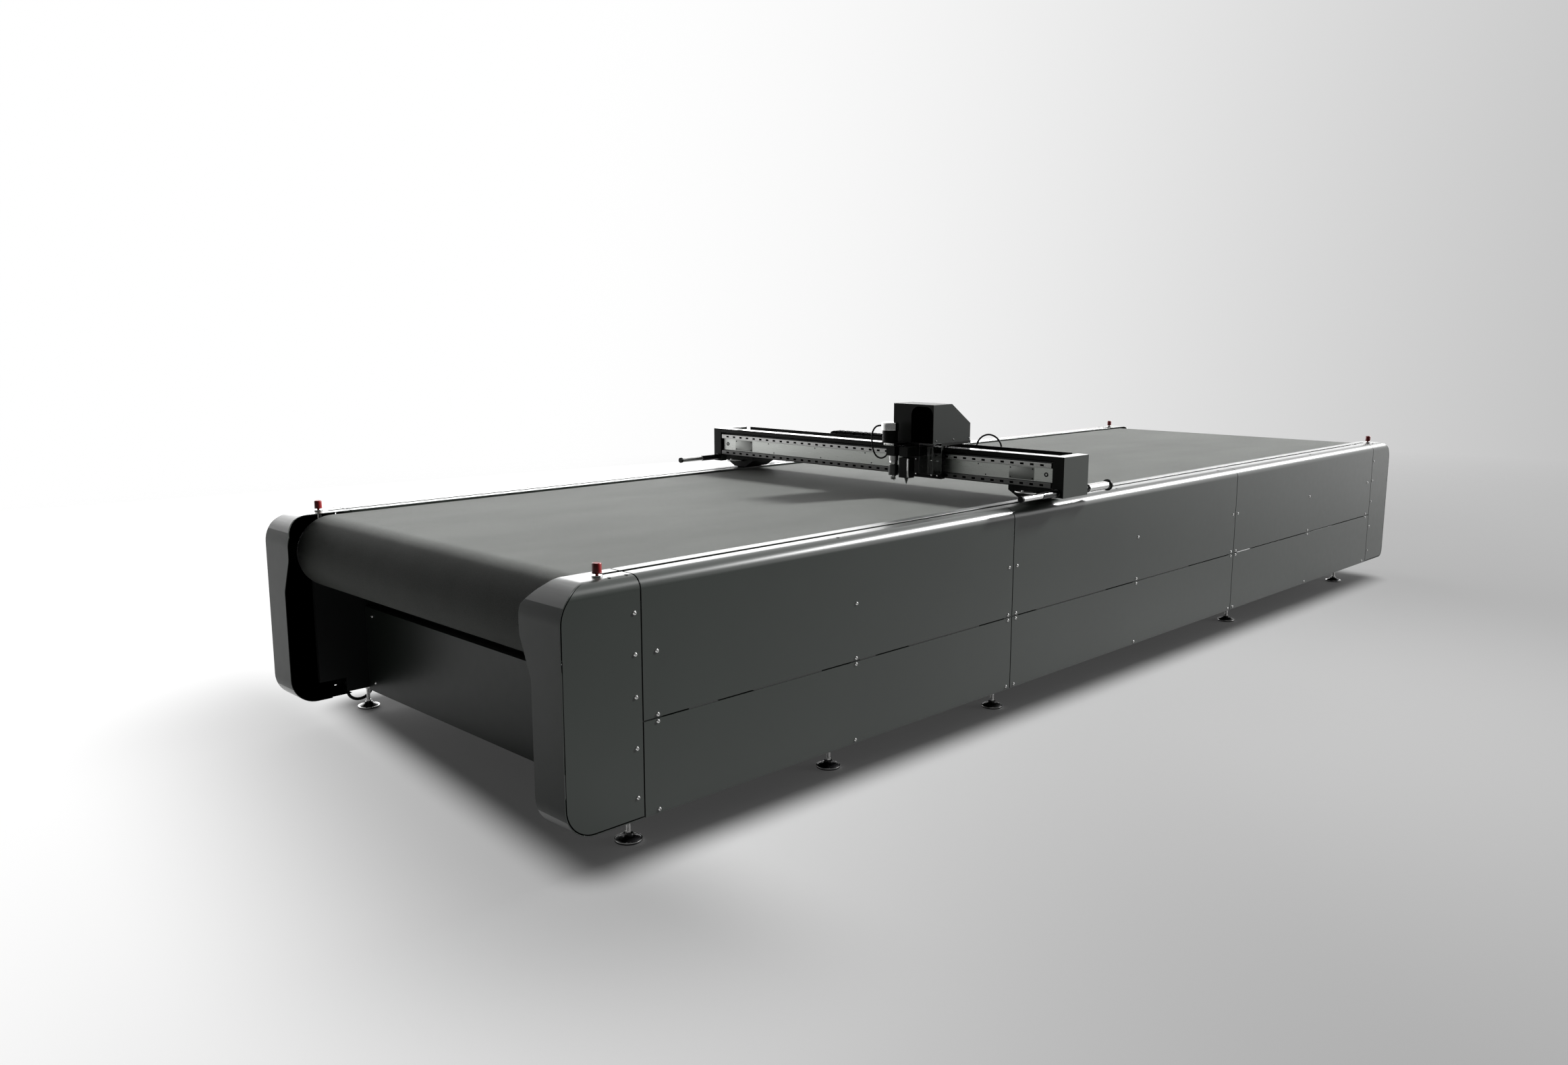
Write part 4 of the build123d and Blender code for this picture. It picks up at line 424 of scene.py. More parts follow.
def recess_faces(centre, normal):
    """Walls and back of the recess in the housing's front."""
    inside = -0.8675 < centre.x < -0.8552 and -0.4615 < centre.y < -0.3385
    return inside and centre.z < 1.2285 and normal.x < 0.5


def bush_faces(centre, normal):
    """Bush of the knife spindle in the carriage's arm."""
    return centre.x < -0.90 and centre.z < 1.0075


def rear_ring_faces(centre, normal):
    """Ring on a rear bumper rod."""
    away = math.hypot(abs(centre.y) - BUMPER_Y, centre.z - BUMPER_Z)
    return -0.3872 < centre.x < -0.3768 and away > 0.0181


def guard_rim_faces(centre, normal):
    """Cut edges of the clear guard."""
    return abs(normal.z) > 0.9 or (normal.y > 0.9 and centre.x < -0.8679) or centre.x > -0.8135


GLOSSY_TOP = ("cover gloss", facing(Z, 1))
CAP_ENDS = ("cap paint", square_to(X))
# Floors and inner walls of the caps take the near-black as painted shade.
CAP_INSIDES_PAINTED_SHADE = ("matte black and painted shade", cap_inside_faces)

# Finish, rounding of the edges, other finishes by a test of each face, and the nodes that take them.
CARRIED_NODES = (
    ("body paint", BODY_ROUND, (), (
        "upper_panels_right", "upper_panels_left", "lower_panels_right", "lower_panels_left",
        "belt_edge_strips")),
    ("body paint", BODY_ROUND, (CAP_INSIDES_PAINTED_SHADE,), ("cap_side_plates",)),
    ("body paint", BODY_ROUND, (CAP_ENDS, CAP_INSIDES_PAINTED_SHADE), ("end_caps",)),
    ("body paint", BODY_ROUND, (CAP_ENDS,), ("end_panels",)),
    ("frame paint", 0.0, (), ("side_frame_right", "side_frame_left", "cross_members", "roller_bearings")),
    ("motor paint", PART_ROUND, (), ("belt_gearmotor", "gantry_motors", "vacuum_blower")),
    ("guide steel", 0.0, (), ("gantry_rails", "gantry_racks")),
    # The lower head rail takes the darkened steel as painted shade.
    ("rail steel", RAIL_ROUND, (("rail steel painted shade", short_of(Z, BETWEEN_RAILS_Z)),), ("head_rails",)),
    ("rail steel", RAIL_ROUND, (), ("rail_bearing_blocks",)),
    ("rail steel", 0.0, (), ("head_rack", "pinion_right", "pinion_left", "head_pinion")),
    ("turned steel", 0.0, (), ("drive_roller", "idler_roller", "knife_blade")),
    ("bed aluminium", 0.0, (), ("vacuum_bed",)),
    ("duct plastic", 0.0, (), ("vacuum_duct",)),
    ("cabinet paint", PART_ROUND, (), ("control_cabinet",)),
    ("black plastic", 0.0, (), ("cable_glands",)),
    ("sleeve gloss", TRIM_ROUND, (), ("bumper_sleeves",)),
    ("gantry black", TRIM_ROUND, (GLOSSY_TOP,), ("chain_tray",)),
    ("bright metal", TRIM_ROUND, (), ("estop_bases",)),
    # The saddles' top faces take bright metal for the white reflection seen on them: painted highlight.
    ("gantry black", 0.0025, (("bright metal", facing(Z, 1)),), ("gantry_carriages",)),
    ("bright metal", ROD_ROUND, (("gantry black", short_of(X, FRONT_ROD_TIP_X)),), (
        "bumper_rod_front_right", "bumper_rod_front_left")),
    ("bright metal", ROD_ROUND, (
        ("gantry black", short_of(X, REAR_ROD_STEM_X)), ("gantry black", rear_ring_faces)), (
        "bumper_rod_rear_right", "bumper_rod_rear_left")),
    ("bright metal", ROD_ROUND, (("cover gloss", short_of(Z, HOLDER_TOP)),), ("knife_quill",)),
    ("beam metal", PART_ROUND, (), ("gantry_beam",)),
    ("pale panel", RAIL_ROUND, (), ("beam_front_panel",)),
    ("gantry black", PART_ROUND, (GLOSSY_TOP,), ("beam_top_cover",)),
    # End boxes: the sides facing along Y take the lighter grey as painted light, the fronts stay black.
    ("gantry black", 0.0020, (("box side painted light", square_to(Y)), GLOSSY_TOP), ("gantry_end_boxes",)),
    # Head housing: its front facing -X takes gantry black as painted shade against the grey sides, and its
    # recess takes the near-black as painted shade.
    ("housing grey", PART_ROUND, (("gantry black", facing(X, -1)), ("matte black and painted shade", recess_faces)), (
        "head_housing",)),
    ("gantry black", PART_ROUND, (("carriage metal", bush_faces),), ("head_carriage",)),
    ("gantry black", PART_ROUND, (("carriage metal", short_of(Z, TOOL_FOOT_TOP)),), ("second_tool",)),
    ("clear guard", 0.0, (("guard rim", guard_rim_faces),), ("tool_guard",)),
)


def dress_node(node, material, rounding, others):
    """Finishes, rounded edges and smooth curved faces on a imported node."""
    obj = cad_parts[node]
    mesh = obj.data
    mesh.materials.clear()
    mesh.materials.append(finish_of(material))
    index = [0] * len(mesh.polygons)
    for number, (other, test) in enumerate(others, 1):
        mesh.materials.append(finish_of(other))
        for polygon in mesh.polygons:
            if test(polygon.center, polygon.normal):
                index[polygon.index] = number
    mesh.polygons.foreach_set("material_index", index)
    mesh.polygons.foreach_set("use_smooth", [True] * len(mesh.polygons))
    add = obj.modifiers.new
    configure(add("weld", "WELD"), merge_threshold=WELD_GAP)
    if rounding:
        configure(
            add("flat faces", "DECIMATE"), decimate_type="DISSOLVE", angle_limit=math.radians(0.6),
            delimit={"MATERIAL"})
        configure(
            add("rounded edges", "BEVEL"), width=rounding, segments=2, limit_method="ANGLE",
            angle_limit=math.radians(35))
    configure(add("crisp edges", "EDGE_SPLIT"), split_angle=math.radians(50 if rounding else 28))
    if rounding:
        configure(add("flat shading", "WEIGHTED_NORMAL"), weight=80)


class FLATBED_OT_finishes(bpy.types.Operator):
    """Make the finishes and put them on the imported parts"""

    bl_idname = "flatbed.finishes"
    bl_label = "Finishes"

    def execute(self, context):
        make_finishes()
        for material, rounding, others, nodes in CARRIED_NODES:
            for node in nodes:
                dress_node(node, material, rounding, others)
        return {"FINISHED"}


# Mesh helpers


def add_object(name, data):
    """Object with its data, put in the scene."""
    obj = bpy.data.objects.new(name, data)
    bpy.context.scene.collection.objects.link(obj)
    return obj


def fresh(count):
    """Empty bmeshes for pieces that are built together."""
    return [bmesh.new() for _ in range(count)]


def to_mesh(bm, name):
    """Mesh from a bmesh, which is used up."""
    mesh = bpy.data.meshes.new(name)
    bm.to_mesh(mesh)
    bm.free()
    return mesh


def make_piece(name, bm, material, crisp=32.0):
    """Object from a bmesh, with its finish and its sharp edges."""
    bmesh.ops.remove_doubles(bm, verts=bm.verts, dist=0.000005)
    bmesh.ops.recalc_face_normals(bm, faces=bm.faces)
    mesh = to_mesh(bm, name)
    mesh.materials.append(finish_of(material))
    mesh.polygons.foreach_set("use_smooth", [True] * len(mesh.polygons))
    mesh.set_sharp_from_angle(angle=math.radians(crisp))
    obj = add_object(name, mesh)
    return obj


def finish_piece(name, bm, material, body, replaces=(), crisp=32.0):
    """Piece that rides on a body."""
    obj = make_piece(name, bm, material, crisp)
    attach(obj, body)
    if replaces:
        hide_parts(*replaces)


def joined(vert):
    """Every vertex that edges join to one vertex."""
    wave = {vert}
    reached = set(wave)
    while wave:
        wave = {edge.other_vert(item) for item in wave for edge in item.link_edges} - reached
        reached |= wave
    return reached


def shells(node):
    """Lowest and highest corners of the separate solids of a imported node."""
    bm = bmesh.new()
    bm.from_mesh(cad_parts[node].data)
    bmesh.ops.remove_doubles(bm, verts=bm.verts, dist=WELD_GAP)
    left = set(bm.verts)
    boxes = []
    while left:
        shell = joined(next(iter(left)))
        left -= shell
        low = [min(vert.co[axis] for vert in shell) for axis in range(3)]
        high = [max(vert.co[axis] for vert in shell) for axis in range(3)]
        boxes.append((low, high))
    bm.free()
    return [(Vector(low), Vector(high)) for low, high in sorted(boxes)]


def round_edges(bm, edges, offset, segments):
    """Rounded edges, known by their new vertices."""
    return bmesh.ops.bevel(
        bm, geom=list(edges), offset=offset, offset_type="OFFSET", affect="EDGES", segments=segments,
        profile=0.5, material=-1, clamp_overlap=True)["verts"]


def set_down(bm, verts, place, axis):
    """Shape that stands on the XY plane, turned to an axis and put on a place."""
    turn = Vector(UP).rotation_difference(Vector(axis)).to_matrix()
    bmesh.ops.rotate(bm, cent=(0, 0, 0), matrix=turn, verts=verts)
    bmesh.ops.translate(bm, vec=Vector(place), verts=verts)


def edges_of(verts):
    return {edge for vert in verts for edge in vert.link_edges}


def add_box(bm, corner, opposite, rounding=0.0, segments=2):
    """Box between two opposite corners, with its edges rounded."""
    size = Vector([abs(end - start) for start, end in zip(corner, opposite)])
    verts = bmesh.ops.create_cube(bm, size=1.0)["verts"]
    bmesh.ops.scale(bm, vec=size, verts=verts)
    bmesh.ops.translate(bm, vec=(Vector(corner) + Vector(opposite)) / 2, verts=verts)
    return round_edges(bm, edges_of(verts), rounding, segments) if rounding else verts


def add_turned(bm, place, axis, profile, steps=None):
    """Turned shape: radius and height pairs along an axis from a place."""
    steps = steps or sizes().round_steps
    verts = [bm.verts.new((radius, 0.0, height)) for radius, height in profile]
    edges = [bm.edges.new(pair) for pair in zip(verts, verts[1:])]
    bmesh.ops.spin(
        bm, geom=[*verts, *edges], cent=(0, 0, 0), axis=UP, angle=2 * math.pi, steps=steps, use_merge=True,
        use_duplicate=False)
    set_down(bm, list(joined(verts[-1])), place, axis)


def add_ring(bm, place, axis, inner, outer, height, rounding, steps=None):
    """Turned ring with rounded outer rims, standing on a place along an axis."""
    third = rounding * 0.3
    add_turned(bm, place, axis, [
        (inner, 0.0), (outer - rounding, 0.0), (outer - third, third), (outer, rounding),
        (outer, height - rounding), (outer - third, height - third), (outer - rounding, height),
        (inner, height), (inner, 0.0)], steps)


def add_button(bm, place, axis, radius, height, rounding, steps=None):
    """Turned disc with a rounded upper rim, standing on a place along an axis."""
    rim, shoulder = radius - rounding, height - rounding
    points = [(0.0, 0.0), (radius, 0.0), (radius, shoulder)]
    for turn in (math.pi / 6, math.pi / 3):
        points.append((rim + rounding * math.cos(turn), shoulder + rounding * math.sin(turn)))
    add_turned(bm, place, axis, [*points, (rim, height), (0.0, height)], steps)


def add_nut(bm, place, axis, flats, height):
    """Hexagon nut with its corners turned down."""
    radius = flats / math.sqrt(3)
    verts = bmesh.ops.create_cone(
        bm, cap_ends=True, cap_tris=False, segments=6, radius1=radius, radius2=radius, depth=height)["verts"]
    rims = [
        edge for edge in edges_of(verts) if abs(edge.verts[0].co.z - edge.verts[1].co.z) < height / 2]
    made = round_edges(bm, rims, height * 0.1, 2)
    set_down(bm, list(joined(made[0])), Vector(place) + Vector(axis) * height / 2, axis)


def stamp(bm, mesh, place, axis):
    """Copy of a small mesh that stands on the XY plane, turned to an axis and put on a place."""
    start = len(bm.verts)
    bm.from_mesh(mesh)
    bm.verts.ensure_lookup_table()
    set_down(bm, bm.verts[start:], place, axis)


def screw_head(radius, height, socket):
    """Domed screw head with a hexagon socket, standing on the XY plane."""
    bm = bmesh.new()
    floor = height * 0.4
    add_turned(bm, (0, 0, 0), UP, [
        (0.0, 0.0), (radius, 0.0), (radius, height * 0.3), (radius * 0.8, height * 0.8), (socket, height),
        (socket, floor), (0.0, floor)], 12)
    for vert in bm.verts:
        turn = round(math.degrees(math.atan2(vert.co.y, vert.co.x)) / 30) % 2
        if turn and abs(vert.co.xy.length - socket) < socket * 0.01:
            vert.co.xy *= math.cos(math.pi / 6)
    return to_mesh(bm, "screw_head")


# Cords

# Radius, body, length, stiffness, lay and the points of the route.
CORD_ROUTES = {
    "supply_cable": (0.0065, "base", 0.2286, "limp", "hanging", (
        (-2.965, 0.944, 0.119), (-2.965, 0.944, 0.0717), (-2.9313, 0.944, 0.038), (-2.8837, 0.944, 0.038),
        (-2.850, 0.944, 0.0717), (-2.850, 0.944, 0.119))),
    "signal_cable": (0.0035, "base", 0.2106, "limp", "hanging", (
        (-2.828, 0.905, 0.112), (-2.828, 0.905, 0.078), (-2.803, 0.905, 0.054), (-2.764, 0.905, 0.048),
        (-2.725, 0.905, 0.054), (-2.700, 0.905, 0.078), (-2.700, 0.905, 0.112))),
    "head_cable": (0.0040, "head", 0.3102, "medium", "loose", (
        (-0.925, -0.224, 1.139), (-0.925, -0.193, 1.139), (-0.925, -0.167, 1.122),
        (-0.925, -0.1554, 1.0934), (-0.925, -0.1571, 1.0604), (-0.925, -0.163, 1.027),
        (-0.925, -0.1793, 0.9989), (-0.925, -0.2098, 0.9878), (-0.925, -0.2403, 0.9989),
        (-0.925, -0.2566, 1.027), (-0.925, -0.2566, 1.054))),
    "beam_hose": (0.0040, "gantry", 0.2762, "medium", "loose", (
        (-0.525, -0.447, 0.995), (-0.525, -0.447, 1.0417), (-0.525, -0.4749, 1.0801),
        (-0.525, -0.520, 1.0948), (-0.525, -0.5651, 1.0801), (-0.525, -0.593, 1.0417),
        (-0.525, -0.593, 0.995))),
}


def lay_cord(node, radius, body, run, stiffness, lay, points):
    """Smooth cord along its route."""
    curve = configure(
        bpy.data.curves.new(node + "_sheath", "CURVE"), dimensions="3D", bevel_depth=radius,
        bevel_resolution=4, use_fill_caps=True)
    spline = curve.splines.new("NURBS")
    spline.points.add(len(points) - 1)
    for target, point in zip(spline.points, points):
        target.co = (*point, 1.0)
    configure(spline, order_u=3, use_endpoint_u=True, resolution_u=10)
    curve.materials.append(finish_of("cord sheath"))
    obj = add_object(node + "_sheath", curve)
    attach(obj, body)
    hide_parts(node)


class FLATBED_OT_cords(bpy.types.Operator):
    """Lay the two cables under the near left corner, the head cable and the hose"""

    bl_idname = "flatbed.cords"
    bl_label = "Cords"

    def execute(self, context):
        for node, route in CORD_ROUTES.items():
            lay_cord(node, *route)
        return {"FINISHED"}


# Belt

FELT_THICKNESS = 0.005


def only(items, kind):
    """The items of a list that are of one kind."""
    return [item for item in items if isinstance(item, kind)]


def half_turn(bm, geom, centre):
    """Half turn of a strip about a roller's axis, known by the edge that it ends with."""
    made = bmesh.ops.spin(
        bm, geom=geom, cent=centre, axis=LEFT, angle=math.pi, steps=40, use_duplicate=False)
    return only(made["geom_last"], bmesh.types.BMEdge)


def wrap_belt():
    """Felt loop: two half turns joined by the flat runs, thickened inwards."""
    low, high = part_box("conveyor_belt")
    middle_z = (high.z + low.z) / 2
    axis_x = high.x - (high.z - low.z) / 2
    bm = bmesh.new()
    strip = [bm.verts.new((axis_x, y, high.z)) for y in (low.y, high.y)]
    start = bm.edges.new(strip)
    far_end = half_turn(bm, [*strip, start], (axis_x, 0, middle_z))
    run = bmesh.ops.extrude_edge_only(bm, edges=far_end)["geom"]
    moved = only(run, bmesh.types.BMVert)
    bmesh.ops.translate(bm, vec=(-2 * axis_x, 0, 0), verts=moved)
    edges = [edge for edge in only(run, bmesh.types.BMEdge) if all(vert in moved for vert in edge.verts)]
    near_end = half_turn(bm, [*moved, *edges], (-axis_x, 0, middle_z))
    bmesh.ops.bridge_loops(bm, edges=[*near_end, start])
    bmesh.ops.remove_doubles(bm, verts=bm.verts, dist=0.00001)
    bmesh.ops.recalc_face_normals(bm, faces=bm.faces)
    bmesh.ops.solidify(bm, geom=bm.faces[:], thickness=FELT_THICKNESS)
    finish_piece("felt_belt", bm, "belt felt", "base", ["conveyor_belt"], crisp=40.0)


class FLATBED_OT_belt(bpy.types.Operator):
    """Wrap the felt belt round its rollers"""

    bl_idname = "flatbed.belt"
    bl_label = "Belt"

    def execute(self, context):
        wrap_belt()
        return {"FINISHED"}


# Screws, plugs and cap sheets

PLUG_Y = 0.966
PLUG_PLACES = (-3.025, -2.962, -2.037, -0.152, 0.862, 2.037, 2.962, 3.025)
CAP_UNDERSIDE = 0.095
# Near and far end, with the radius of the caps' lower corners there.
CAP_CORNERS = ((-1, 0.105), (1, 0.045))
CAP_SHEET = 0.0013


def drive_screws():
    """Domed screws on the outer faces of the panels."""
    size = sizes()
    head = screw_head(size.screw_head, size.screw_height, size.screw_socket)
    bm = bmesh.new()
    for low, high in shells("panel_screws"):
        middle = (low + high) / 2
        if high.y - low.y > high.x - low.x:
            outward = Vector((0, math.copysign(1, middle.y), 0))
        else:
            outward = Vector((math.copysign(1, middle.x), 0, 0))
        reach = abs((high - low).dot(outward)) / 2
        stamp(bm, head, middle + outward * (reach - size.screw_height), outward)
    bpy.data.meshes.remove(head)
    finish_piece("panel_screw_heads", bm, "screw steel", "base", ["panel_screws"])


def plug_covers():
    """Small flush plugs in the top covers, beside the seams and in the middle of each cover."""
    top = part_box("upper_panels_right")[1].z
    bm = bmesh.new()
    for side in SIDES:
        for x in PLUG_PLACES:
            add_button(bm, (x, side * PLUG_Y, top - 0.0006), UP, 0.0058, 0.0009, 0.0003, 12)
    finish_piece("cover_plugs", bm, "black plastic", "base")


def close_caps():
    """Black sheets of painted shade inside the caps: over the floor openings at the frame's ends and behind
    the low seams.
    """
    front = CAD_BOX[1].x
    bm = bmesh.new()
    for end, corner in CAP_CORNERS:
        centre, radius = end * (front - corner), corner - 0.002
        disc = [(0.0, 0.0), (radius, 0.0), (radius, CAP_SHEET), (0.0, CAP_SHEET)]
        for side in SIDES:
            add_box(bm, (end * 2.982, side * 0.856, 0.0981), (end * 3.105, side * 0.988, 0.0990))
            add_box(bm, (end * 2.990, side * 1.0005, 0.0982), (centre, side * 1.0018, 0.1500))
            add_turned(bm, (centre, side * 0.9990, CAP_UNDERSIDE + corner), (0, side, 0), disc, 48)
    finish_piece("cap_painted_shade_sheets", bm, "matte black and painted shade", "base")


class FLATBED_OT_screws(bpy.types.Operator):
    """Put a screw in every panel hole, flush plugs in the top covers and black sheets of painted shade inside
    the caps
    """

    bl_idname = "flatbed.screws"
    bl_label = "Screws"

    def execute(self, context):
        drive_screws()
        plug_covers()
        close_caps()
        return {"FINISHED"}


# Feet and stops

PAD_TOP_LIMIT = 0.03
PAD_PROFILE = (
    (0.0, 0.0), (0.041, 0.0), (0.0435, 0.0015), (0.0435, 0.005), (0.041, 0.0085), (0.034, 0.0115),
    (0.021, 0.0165), (0.0165, 0.021), (0.0150, 0.0255), (0.0, 0.0255))
THREAD_START = 0.026
# Radius, and height as a share of the pitch.
THREAD_TOOTH = ((0.0080, 0.0), (0.0072, 0.35), (0.0072, 0.5), (0.0080, 0.85))
STOP_HEAD_HEIGHT = 0.032
STOP_STEM_RADIUS = 0.0049


def build_feet(places):
    """Pads, bright rims that put a painted highlight on each pad, threaded stems and nuts of every foot."""
    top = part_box("levelling_feet")[1].z
    pitch = sizes().thread_pitch
    pads, rims, stems = fresh(3)
    thread = [(0.0, 0.024), (0.0080, 0.024)]
    height = THREAD_START
    while height < top - 2 * pitch:
        thread += [(radius, height + pitch * turn) for radius, turn in THREAD_TOOTH]
        height += pitch
    thread += [(0.0080, top - 0.001), (0.0070, top), (0.0, top)]
    for x, y in places:
        add_turned(pads, (x, y, 0), UP, PAD_PROFILE, 40)
        # Bright ring at the pad's rim: painted highlight.
        add_ring(rims, (x, y, 0.0045), UP, 0.0385, 0.0440, 0.0045, 0.0018, 40)
        add_turned(stems, (x, y, 0), UP, thread, 14)
        add_nut(stems, (x, y, 0.0262), UP, 0.019, 0.007)
        add_nut(stems, (x, y, 0.082), UP, 0.024, 0.013)
    finish_piece("foot_pads", pads, "pad black", "base", ["levelling_feet"])
    finish_piece("foot_rim_highlights", rims, "bright metal", "base")
    finish_piece("foot_stems", stems, "screw steel", "base")


class FLATBED_OT_feet(bpy.types.Operator):
    """Build the levelling feet: pads, rims as painted highlight, threaded stems and jam nuts"""

    bl_idname = "flatbed.feet"
    bl_label = "Levelling feet"

    def execute(self, context):
        pads = [(low + high) / 2 for low, high in shells("levelling_feet") if high.z < PAD_TOP_LIMIT]
        build_feet([(pad.x, pad.y) for pad in pads])
        return {"FINISHED"}


def build_stop(node):
    """Red head with a rounded rim and a shallow dish, on its stem."""
    low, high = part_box(node)
    middle = (low + high) / 2
    top = high.z - low.z
    head = top - STOP_HEAD_HEIGHT
    radius = (high.x - low.x) / 2
    profile = [
        (0.0, 0.0), (STOP_STEM_RADIUS, 0.0), (STOP_STEM_RADIUS, head), (radius - 0.002, head),
        (radius - 0.0005, head + 0.0007), (radius, head + 0.002), (radius, head + 0.0045),
        (radius - 0.0006, head + 0.0052), (radius - 0.0006, top - 0.0036), (radius - 0.0012, top - 0.0015),
        (radius - 0.0024, top - 0.0004), (radius - 0.0038, top), (radius * 0.6, top - 0.0007),
        (0.0, top - 0.0011)]
    bm = bmesh.new()
    add_turned(bm, (middle.x, middle.y, low.z), UP, profile, 40)
    finish_piece(node.replace("button", "head"), bm, "stop red", node, [node])


class FLATBED_OT_stops(bpy.types.Operator):
    """Build the four emergency stop heads"""

    bl_idname = "flatbed.stops"
    bl_label = "Emergency stops"

    def execute(self, context):
        for end in ("near", "far"):
            for side in ("right", "left"):
                build_stop(f"estop_button_{end}_{side}")
        return {"FINISHED"}


# Gantry

RAIL_HALF_HEIGHT = 0.010
PLATE_INNER_Y, PLATE_OUTER_Y = 0.802, 0.928
SIGHT_RING_Y, SIGHT_RING_Z = 0.988, 0.966
PANEL_SCREWS_Y = (-0.66, -0.33, 0.0, 0.33, 0.66)
SADDLE_Y = 0.908


def cap_rails():
    """Bolt caps along both head rails."""
    low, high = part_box("head_rails")
    size = sizes()
    count = int((high.y - low.y) / size.cap_pitch)
    start = -(count - 1) * size.cap_pitch / 2
    half = Vector((size.cap_height, size.cap_length, 0.0)) / 2
    bm = bmesh.new()
    add_box(bm, -half, half + Vector((0, 0, 0.0012)), 0.0005, 1)
    cap = to_mesh(bm, "rail_cap")
    bm = bmesh.new()
    for z in (high.z - RAIL_HALF_HEIGHT, low.z + RAIL_HALF_HEIGHT):
        for step in range(count):
            stamp(bm, cap, (low.x + 0.00105, start + step * size.cap_pitch, z), FRONT)
    bpy.data.meshes.remove(cap)
    finish_piece("rail_bolt_caps", bm, "matte black and painted shade", "gantry")


def plate_beam():
    """Darker plates, sight rings and screws on the pale panel, discs at the saddles and the beam's tab."""
    low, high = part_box("beam_front_panel")
    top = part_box("beam_top_cover")[1].z
    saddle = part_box("gantry_carriages")[0].x
    plates, rings, tab, discs = fresh(4)
    screw = screw_head(0.0032, 0.0018, 0.0015)
    for side in SIDES:
        inner, outer = side * PLATE_INNER_Y, side * PLATE_OUTER_Y
        add_box(
            plates, (low.x - 0.0012, inner, low.z + 0.003), (low.x + 0.0004, outer, high.z - 0.003), 0.0005)
        sight = (low.x + 0.0004, side * SIGHT_RING_Y, SIGHT_RING_Z)
        add_ring(rings, sight, FRONT, 0.0052, 0.0095, 0.0024, 0.0008, 24)
        for y in (inner + side * 0.007, outer - side * 0.007):
            for z in (low.z + 0.010, high.z - 0.010):
                stamp(rings, screw, (low.x - 0.0010, y, z), FRONT)
        height = (low.z + high.z) / 2 + side * 0.022
        for y in PANEL_SCREWS_Y:
            stamp(rings, screw, (low.x + 0.0002, y + side * 0.02, height), FRONT)
        add_ring(discs, (saddle - 0.006, side * SADDLE_Y, 0.8835), UP, 0.0, 0.0500, 0.0085, 0.0026, 40)
        add_button(discs, (saddle - 0.034, side * SADDLE_Y, 0.8915), UP, 0.0075, 0.0050, 0.0012, 16)
    bpy.data.meshes.remove(screw)
    add_box(tab, (-0.784, 0.878, top - 0.0005), (-0.744, 0.902, top + 0.0020), 0.0006)
    finish_piece("panel_plates", plates, "panel plate", "gantry")
    finish_piece("panel_rings", rings, "gantry black", "gantry")
    finish_piece("beam_tab", tab, "pale panel", "gantry")
    finish_piece("saddle_discs", discs, "bright metal", "gantry")


class FLATBED_OT_gantry(bpy.types.Operator):
    """Add the rail bolt caps, the end plates, the sight rings, the saddle discs and the beam's tab"""

    bl_idname = "flatbed.gantry"
    bl_label = "Gantry trim"

    def execute(self, context):
        cap_rails()
        plate_beam()
        return {"FINISHED"}


# Energy chain

CHAIN_X = -0.562
CHAIN_LOW_Z = 0.9565
CHAIN_BEND = 0.045
CHAIN_LOOP_Y = 0.383
CHAIN_HEAD_Y = -0.262
BEND_LINKS = 5
LINK_PITCH = 0.030
LINK_HALF_WIDTH, LINK_HALF_HEIGHT, LINK_HALF_LENGTH = 0.0250, 0.0138, LINK_PITCH * 0.58
LINK_PLATE, LINK_BAR, LINK_BAR_HALF = 0.0040, 0.0026, 0.0062
INNER_LINK_INSET = 0.0042
# So far out, both ends of a blend would weigh the same over the whole loop.
EVEN_SPREAD = 100.0


def chain_link(inset):
    """Mesh of one link: two side plates with rounded corners and a bar above and below."""
    bm = bmesh.new()
    side = LINK_HALF_WIDTH - inset
    inside, height = side - 0.0030, LINK_HALF_HEIGHT
    for sign in SIDES:
        outer, inner = sign * side, sign * (side - LINK_PLATE)
        plate = add_box(bm, (outer, -LINK_HALF_LENGTH, -height), (inner, LINK_HALF_LENGTH, height))
        corners = [
            edge for edge in edges_of(plate) if abs(edge.verts[0].co.x - edge.verts[1].co.x) > 0.001]
        round_edges(bm, corners, 0.0095, 3)
        bar = height - LINK_BAR
        add_box(
            bm, (-inside, -LINK_BAR_HALF, sign * height), (inside, LINK_BAR_HALF, sign * bar), 0.0007, 1)
    return to_mesh(bm, "chain_link")


